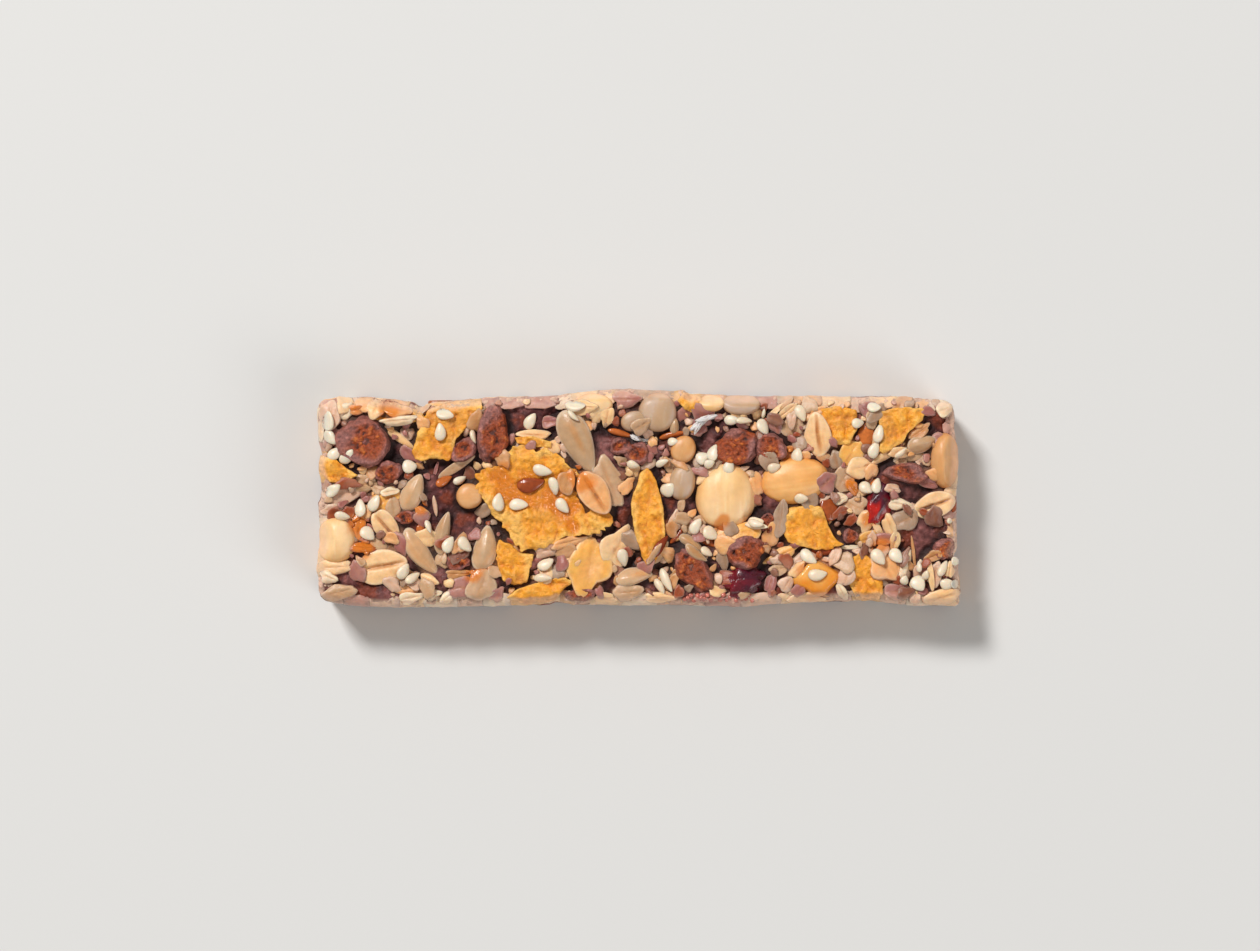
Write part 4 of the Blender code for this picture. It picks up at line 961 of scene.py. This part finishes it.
BAND = {
    "front": [
        (-54, -50, "milk"), (-50, -46, "rose"), (-46, -41, "milk"), (-41, -36, "cream"), (-36, -31, "white"),
        (-31, -26, "milk"), (-26, -22, "white"), (-22, -17, "gold"), (-17, -13, "cream"), (-13, -11, "peach"),
        (-11, -8, "rose"), (-8, -3, "cream"), (-3, 3, "white"), (3, 8, "peach"), (8, 12, "rose"), (12, 18, "rose"),
        (18, 24, "milk"), (24, 28, "cream"), (28, 33, "peach"), (33, 37, "white"), (37, 41, "gold"),
        (41, 46, "milk"), (46, 50, "white"), (50, 54.5, "cream"),
    ],
    "right": [
        (-18, -15, "cream"), (-15, -11, "milk"), (-11, -7, "milk"), (-7, -3, "peach"), (-3, 0, "rose"), (0, 2, "cream"),
        (2, 6, "cream"), (6, 11, "gold"), (11, 14, "rose"), (14, 16, "white"),
    ],
    "back": [
        (-54, -51, "rose"), (-51, -48, "milk"), (-48, -46, "gold"), (-46, -43, "cream"), (-43, -39, "peach"),
        (-39, -36, "cream"), (-36, -31, "gold"), (-31, -27, "gold"), (-27, -24, "rose"), (-24, -19, "rose"),
        (-19, -14, "rose"), (-14, -11, "white"), (-11, -7, "cream"), (-7, -4, "cream"), (-4, 0, "rose"),
        (0, 6, "grey"), (6, 11, "gold"), (11, 15, "peach"), (15, 20, "milk"), (20, 24, "rose"), (24, 27, "beige"),
        (27, 31, "peach"), (31, 36, "cream"), (36, 40, "milk"), (40, 45, "cream"), (45, 50, "peach"), (50, 53, "white"),
    ],
    "left": [
        (-17, -13, "milk"), (-13, -8, "cream"), (-8, -3, "white"), (-3, 1, "milk"), (1, 3, "rose"), (3, 7.5, "gold"),
        (7.5, 10, "rose"), (10, 16, "white"),
    ],
}


def gap_places(columns, rows, seed, shortest, longest, below):
    """Places for broken bits, one in each cell of a grid over the top, where the ground still lies BELOW a height."""
    places = []
    names = ["tan", "peach", "beige", "rose", "grey", "brown", "rust", "rose", "milk", "cream"]
    for across, along in spots(columns, rows, seed):
        x, y = (across - 0.5) * (LENGTH - 4), (along - 0.5) * (WIDTH - 4)
        bare = min(math.hypot(x - bx, y - by) / radius for bx, by, radius in BARE_BINDER)
        if ground[int((x - ground_x[0, 0]) / CELL), int((y - ground_y[0, 0]) / CELL)] < below and bare > 1:
            long = draw.uniform(shortest, longest)
            wide = long * draw.uniform(0.5, 0.85)
            places.append((x, y, draw.uniform(0, 180), long, wide, names[draw.integers(len(names))]))
    return places


draw = np.random.default_rng(21)
groups = [lay_oats(gap_places(34, 12, 9, 2.2, 4.6, CORE_HEIGHT + 0.1), 1.3, 0.35, 0.15, 1.0, 10, 18, 40)]
groups.append(lay_oats(gap_places(60, 20, 10, 0.9, 2.2, CORE_HEIGHT), 0.9, 0.3, 0.0, 1.0, 7, 10, 40))
starts = {"front": 0, "right": plan_x.shape[0] - 1, "back": sum(plan_x.shape) - 2}
starts["left"] = starts["back"] + plan_x.shape[0] - 1
slabs = []
for side, pieces in BAND.items():
    first = starts[side]
    last = first + (plan_x.shape[0] if side in ("front", "back") else plan_x.shape[1]) - 1
    line = (wall_x if side in ("front", "back") else wall_y)[first:last]
    runs = wall_s[first:last]
    order = np.argsort(line)
    for start, end, tone in pieces:
        at, to = np.interp([start, end], line[order], runs[order])
        slabs.append(((at + to) / 2, abs(to - at) * 1.12 + 0.3, tone))
x, y, z = ball(12, 32)
corner = np.arctan2(y, x)
square = (np.abs(np.cos(corner)) ** 6 + np.abs(np.sin(corner)) ** 6) ** (-1 / 6)
seed = per_piece(draw.uniform(0, 60, len(slabs)))
rough = 1 + 0.10 * uneven(x + seed, y, 0.0, 0.5, 107) + 0.06 * uneven(x + seed, y, 0.0, 0.2, 108)
px = x * square * per_piece([slab[1] for slab in slabs]) / 2 * rough
py = y * square * per_piece(draw.uniform(3.6, 4.9, len(slabs))) / 2 * rough
pz = np.sign(z) * np.abs(z) ** 0.5 * 0.55 + 0 * px
local = np.stack([px, py + 0.3 * uneven(px + seed, 0.0, 0.0, 1.1, 109), pz], axis=-1)
level = draw.uniform(-0.03, 0.1, len(slabs))
runs, rise = [slab[0] for slab in slabs], np.full(len(slabs), WALL_STRAIGHT + 1.1)
points = on_wall(local, runs, rise, np.zeros(len(slabs)), level)
own = np.array([TONES[slab[2]] for slab in slabs])[:, None, None, :]
# The band's milky paleness is partly the pressed film's own and partly painted sheen.
tone = mix(own, MILKY_SHEEN, 0.45 + 0.25 * uneven(px + seed, py, 0.0, 1.4, 110))
tone = mix(tone, own * 0.85, ramp(uneven(px + seed, py, 0.0, 0.7, 111), 0.2, 0.8) * 0.6)
groups.append((points, tone, 0.45))
make_piece("broken_oats", *closed_forms(groups), rolled, "binder_oats_and_seeds")

# Coconut: torn shreds of dried coconut, white, their creases greyed with painted shade. They lie in two loose tufts
# on top, and hold by the binder that was still warm under them.
COCONUT_WHITE, COCONUT_CREASE_SHADE = np.array((0.80, 0.74, 0.70)), np.array((0.42, 0.34, 0.33))
SHREDS = [
    (10.9, 13.0, 35, 4.4, 1.1), (11.6, 13.6, 15, 3.6, 0.9), (10.4, 12.3, 60, 3.0, 0.8), (0.4, 9.9, 5, 3.4, 1.3),
    (-0.3, 10.3, -25, 2.2, 0.9),
]
draw = np.random.default_rng(18)
x, y, z = ball(14, 26)
seed = per_piece(draw.uniform(0, 60, len(SHREDS)))
long, wide = (per_piece([shred[k] for shred in SHREDS]) for k in (3, 4))
torn = 1 + 0.3 * uneven(x + seed, y, z, 0.3, 140)
creases = uneven(0.4 * x + seed, 3.0 * y, z, 0.3, 141)
local = np.stack([x * long / 2 * torn, y * wide / 2 * torn, z * 0.35 + 0.16 * creases], axis=-1)
# Painted shade: the shreds' low creases are greyed.
tone = mix(COCONUT_WHITE, COCONUT_CREASE_SHADE, ramp(-creases, 0.1, 0.8))
groups = [(laid(local, SHREDS, 0.7, 0.1, COCONUT_CREASE_SHADE), tone, 0.2)]
shred_skin = food_material("coconut_shred", 1500, 0.0001, 0.6, 0.4, flesh=0.2, speckle=0.08)
make_piece("coconut_shreds", *closed_forms(groups), shred_skin, "binder_oats_and_seeds")

# The binder: oat meal, sugar and fruit paste cooked to a sticky plum-brown mass. It is pressed round all the pieces,
# climbs a little up their sides, fills the narrow gaps between them and takes their colour there, and stays lower and
# grainy where a gap is wide; where it lies deep below the pieces round it, painted shade darkens it nearly to black.
# Its base and walls are the mould's.


def blurred(field, reach):
    """The field smoothed by three running averages over this many cells to each side, close to a bell curve."""
    for axis in (0, 1) * 3:
        field = sum(np.roll(field, step, axis) for step in range(-reach, reach + 1)) / (2 * reach + 1)
    return field


def sampled(field, x, y):
    """The value of a map of the ground at any place, between its cells."""
    i, j = (x - ground_x[0, 0]) / CELL, (y - ground_y[0, 0]) / CELL
    i0, j0 = (np.clip(np.floor(place).astype(int), 0, size - 2) for place, size in zip((i, j), ground.shape))
    a, b = i - i0, j - j0
    if field.ndim > 2:
        a, b = a[..., None], b[..., None]
    low, high = (field[i0, j0 + step] * (1 - a) + field[i0 + 1, j0 + step] * a for step in (0, 1))
    return low * (1 - b) + high * b


own_level = mass_top(ground_x, ground_y)
climb = np.clip(blurred(ground, 4) - 0.55 - own_level, 0, None) * ramp(ground_inside, 0.6, 2.2)
gap_tint = blurred(stain, 5)
peak = ground
for axis in (0, 1):
    peak = np.max([np.roll(peak, step, axis) for step in range(-4, 5)], axis=0)
gap_depth = blurred(peak, 3) - own_level - climb
ground = np.maximum(ground, own_level + climb)

fine = 0.2 * uneven(plan_x, plan_y, 0.0, 0.62, 3) + 0.12 * uneven(plan_x, plan_y, 0.0, 0.3, 4)
plan_climb = sampled(climb, plan_x, plan_y)
fine = fine * ramp(from_edge(plan_x, plan_y), -0.2, 1.2) * (1 - 0.6 * ramp(plan_climb, 0.0, 0.5))
mass_z = mass_top(plan_x, plan_y) + plan_climb + fine
levels = np.linspace(WALL_STRAIGHT, BASE_LEVEL, 18)[1:]
side_z = np.broadcast_to(levels[:, None], (len(levels), len(rim)))
grain = uneven(wall_x, wall_y, side_z, 1.3, 5) + 0.6 * uneven(wall_x, wall_y, side_z, 0.5, 6)
tuck = 0.25 - 0.13 * grain + 0.5 * round_off(side_z - BASE_LEVEL, BASE_ROUND)
side_points = np.stack([wall_x - tuck * out_x, wall_y - tuck * out_y, side_z], axis=-1).reshape(-1, 3)
top_points = np.stack([plan_x, plan_y, mass_z], axis=-1).reshape(-1, 3)
BASE_INSET = 1.4
base_x = plan_x[::2, ::2] * (1 - 2 * BASE_INSET / LENGTH)
base_y = plan_y[::2, ::2] * (1 - 2 * BASE_INSET / WIDTH)
pitted = BASE_LEVEL + 0.12 * ramp(uneven(base_x, base_y, 0.0, 0.8, 15), 0.2, 0.9)
base_points = np.stack([base_x, base_y, pitted], axis=-1).reshape(-1, 3)
mass_points = np.concatenate([top_points, side_points, base_points])
top_faces = np.stack([index[:-1, :-1], index[1:, :-1], index[1:, 1:], index[:-1, 1:]], axis=-1).reshape(-1, 4)
rings = np.concatenate([rim[None], len(top_points) + np.arange(len(side_points)).reshape(len(levels), -1)])
after = np.roll(rings, -1, axis=1)
side_faces = np.stack([rings[:-1], rings[1:], after[1:], after[:-1]], axis=-1).reshape(-1, 4)
under = len(top_points) + len(side_points) + np.arange(base_x.size).reshape(base_x.shape)
base_faces = np.stack([under[:-1, :-1], under[:-1, 1:], under[1:, 1:], under[1:, :-1]], axis=-1).reshape(-1, 4)
inset = rim_of(under)
joins = [rings[-1, ::2], inset, np.roll(inset, -1), np.roll(rings[-1], -2)[::2], rings[-1, 1::2]]
base_rim = np.stack(joins, axis=-1)

x, y, z = mass_points.T
own = mass_colour(x, y, z)
on_top = ramp(from_edge(x, y), 0.3, 1.2) * (z > WALL_STRAIGHT)
taken = ramp(sampled(climb, x, y), 0.0, 0.5) * on_top
own = mix(own, sampled(gap_tint, x, y) * (0.85, 0.72, 0.62), taken * 0.75)
# Painted shade: where the binder lies deep below the pieces round it, its colour is darkened nearly to black.
deep = ramp(sampled(gap_depth, x, y) + 0.25 * uneven(x, y, z, 0.9, 10), 0.6, 1.5) * on_top
own = mix(own, CREVICE_SHADE, deep * 0.9)
crystals = ramp(uneven(x, y, z, 0.28, 11), 0.5, 0.85)
own = mix(own, MAUVE * 2.0, crystals * 0.5 * (1 - deep))
# Painted sheen along the rim of the top, partly the pressed film's own paleness: the binder is turned milky there.
own = mix(own, MILKY_SHEEN * 0.9, ramp(1.6 - from_edge(x, y), 0.0, 0.8) * ramp(z, 8.8, 10.0) * 0.9)
mass_wet = ramp(uneven(x, y, z, 2.2, 12), -0.1, 0.5) * 0.7 * (1 - deep) + 0.3 * taken
binder = food_material("plum_binder", 1400, 0.0003, 0.6, 0.2, flesh=0.1, speckle=0.3)
binder.node_tree.nodes["Principled BSDF"].inputs["Specular IOR Level"].default_value = 0.28
make_piece(
    "binder", mass_points, [top_faces, side_faces, base_faces, base_rim], own, mass_wet,
    binder, "binder_oats_and_seeds", ["bar"],
)

# Sesame: hulled seeds, white and plump with one pointed end, scattered over the mass before it was pressed, so most
# lie flat on what is under them, and many more show in the walls and the base.
SESAME_WHITE, SESAME_CREAM = np.array((0.84, 0.72, 0.55)), np.array((0.78, 0.56, 0.35))
SESAME = [
    (-52.3, 10.3, -50, 3.1, 1.9), (-51.4, 7.7, 35, 3.1, 1.9), (-49.4, 7.1, 45, 3.1, 1.9), (-52.7, 13.2, 90, 3.4, 2.2),
    (-32.7, 14.3, -10, 3.1, 1.9), (-33.5, 11.3, 90, 3.1, 1.9), (-38.8, 5.4, 0, 2.6, 2.3), (-51.8, 1.4, 35, 3.1, 1.9),
    (-47.2, -1.6, 90, 3.1, 1.9), (-44.8, -0.8, 60, 3.1, 1.9), (-50.2, -3.0, -10, 2.7, 1.5),
    (-45.9, -6.0, -40, 2.9, 2.2),
    (-39.8, -12.4, 60, 3.1, 1.9), (-38.3, -13.5, 35, 2.9, 1.5), (-35.6, -4.8, -70, 2.4, 1.0),
    (-32.2, -7.8, 65, 3.1, 1.9),
    (-29.4, -7.9, -50, 3.1, 1.9), (-28.0, 10.5, -75, 2.6, 1.0), (-30.3, 3.1, 25, 2.4, 1.4), (-18.3, 13.2, 60, 3.1, 1.9),
    (-16.2, 4.7, -15, 3.4, 1.9), (-14.2, 2.1, -75, 3.2, 1.7), (-23.7, -0.6, 90, 3.2, 2.0), (-20.2, -1.0, 0, 3.4, 2.0),
    (-12.8, -1.3, -50, 3.1, 1.9), (-10.6, 15.7, 0, 3.6, 2.0), (-11.0, 14.0, -45, 2.7, 1.0),
    (-15.6, -11.2, 30, 3.1, 1.9),
    (-16.1, -13.5, 0, 3.2, 1.4), (-2.5, -10.1, -80, 3.1, 1.9), (-0.8, 5.7, -15, 2.2, 1.4), (4.1, 6.1, 25, 2.4, 1.2),
    (6.0, 9.7, 10, 1.9, 1.4), (5.2, 1.5, 45, 2.7, 2.4), (11.0, 6.9, 30, 2.4, 2.2), (12.8, 7.8, 70, 3.1, 1.9),
    (12.2, 5.9, 20, 2.0, 1.5), (15.5, 5.4, 75, 2.6, 1.9), (16.0, 13.3, 0, 2.7, 1.7), (18.1, 13.3, 0, 2.9, 1.2),
    (21.3, 12.1, -65, 3.1, 1.9), (21.5, 14.5, 80, 1.7, 0.7), (27.8, 14.5, -65, 3.1, 1.9), (27.1, 7.4, 85, 2.6, 1.9),
    (23.2, 5.2, 20, 2.4, 1.7), (9.9, -4.7, 60, 3.1, 1.9), (12.4, -6.0, -35, 3.1, 2.2), (11.7, -9.1, -35, 2.4, 1.4),
    (20.1, -4.3, -10, 2.6, 1.4), (3.8, -15.0, -60, 3.1, 1.4), (4.8, -14.0, -65, 4.4, 1.5), (29.0, -10.0, -40, 3.4, 2.0),
    (30.6, -13.0, 5, 3.4, 2.0), (27.8, 0.0, 0, 2.4, 1.7), (38.9, 1.8, -30, 2.7, 2.0), (40.6, 2.2, 80, 2.7, 1.7),
    (40.2, 8.3, 70, 3.1, 1.9), (41.0, 11.1, 75, 3.4, 1.7), (37.4, 12.8, 10, 2.2, 1.7), (40.2, 15.5, 0, 2.4, 1.7),
    (44.8, 7.7, 40, 2.7, 1.0), (40.9, -10.0, -50, 3.2, 2.2), (44.0, -9.8, -50, 2.9, 2.2), (45.4, -13.9, 80, 1.7, 1.5),
    (47.9, -11.6, 90, 2.0, 1.0), (49.0, -13.0, 70, 1.7, 1.2), (47.8, -14.5, -50, 2.9, 2.6), (51.9, -11.9, 60, 3.1, 1.4),
    (54.2, -10.7, 0, 1.7, 1.5), (52.7, -14.6, 0, 2.6, 2.0), (54.0, -14.5, 60, 1.7, 1.4), (53.1, -3.8, 0, 1.0, 1.0),
]
draw = np.random.default_rng(19)
groups = []
local, _ = drop_forms([(*place[3:], 1.25) for place in SESAME], draw, 12, 18, 0.32, 0.0)
points = laid(local, SESAME, 1.25, 0.15, SESAME_WHITE)
creamy = per_piece(draw.uniform(0, 0.7, len(SESAME)) ** 2)
groups.append((points, mix(SESAME_WHITE, SESAME_CREAM, creamy), 0.4))
# They lie among the pieces that took the first spots in the walls and the base, so they get spots of their own
for columns, rows, place_in in ((24, 3, in_wall), (15, 4, in_base)):
    count = columns * rows
    wall_spots = base_spots = iter(spots(columns, rows, 30 + rows))
    sizes = drawn(draw, count, (2.7, 3.3), (1.7, 2.1), 1.1)
    local, _ = drop_forms(sizes, draw, 8, 10, 0.32, 0.0)
    tone = mix(SESAME_WHITE, SESAME_CREAM, per_piece(draw.uniform(0, 1, count)))
    groups.append((place_in(local, draw), tone, 0.3))
hull = food_material("sesame_hull", 1200, 0.00004, 0.42, 0.25, flesh=0.3, speckle=0.05)
make_piece("sesame_seeds", *closed_forms(groups), hull, "binder_oats_and_seeds")

# The stage: a pale floor in an evenly lit room, with a large soft light from the back left and a weaker one from the
# front right. None of it belongs to the bar.
floor_mesh = bpy.data.meshes.new("floor")
floor_mesh.from_pydata([(-20, -20, 0), (20, -20, 0), (20, 20, 0), (-20, 20, 0)], [], [(0, 1, 2, 3)])
floor = bpy.data.objects.new("floor", floor_mesh)
bpy.context.scene.collection.objects.link(floor)
pale = bpy.data.materials.new("pale_floor")
pale.use_nodes = True
pale.node_tree.nodes["Principled BSDF"].inputs["Base Color"].default_value = (0.72, 0.71, 0.69, 1)
pale.node_tree.nodes["Principled BSDF"].inputs["Roughness"].default_value = 0.7
floor_mesh.materials.append(pale)


def soft_light(name, power, side, place):
    """A square area light at a place in metres, turned to face the bar."""
    light = bpy.data.lights.new(name, "AREA")
    light.energy = power
    light.size = side
    lamp = bpy.data.objects.new(name, light)
    bpy.context.scene.collection.objects.link(lamp)
    lamp.location = place
    lamp.rotation_euler = (-Vector(place)).to_track_quat("-Z", "Y").to_euler()


soft_light("key", 62.0, 0.55, (-1.1, 1.5, 1.9))
soft_light("fill", 17.0, 1.2, (1.6, -1.2, 1.4))
room = bpy.data.worlds.new("room")
room.use_nodes = True
room.node_tree.nodes["Background"].inputs["Color"].default_value = (1.0, 0.99, 0.97, 1)
room.node_tree.nodes["Background"].inputs["Strength"].default_value = 0.28
bpy.context.scene.world = room
bpy.context.scene.view_settings.view_transform = "Standard"

# The camera: straight above, as the bar was seen. Its view is 214 mm wide at the bar's top, and its middle lies a
# little to the left of the bar's and behind it. Sizes are in millimetres.
VIEW_WIDTH = 214.2
CAMERA_RISE = 620.0
CAMERA_X, CAMERA_Y = -1.3, 3.9
lens = bpy.data.cameras.new("camera")
lens.sensor_width = 36.0
lens.lens = lens.sensor_width * CAMERA_RISE / VIEW_WIDTH
camera = bpy.data.objects.new("camera", lens)
camera.location = (CAMERA_X * MM, CAMERA_Y * MM, (CORE_HEIGHT + 1 + CAMERA_RISE) * MM)
bpy.context.scene.collection.objects.link(camera)
bpy.context.scene.camera = camera
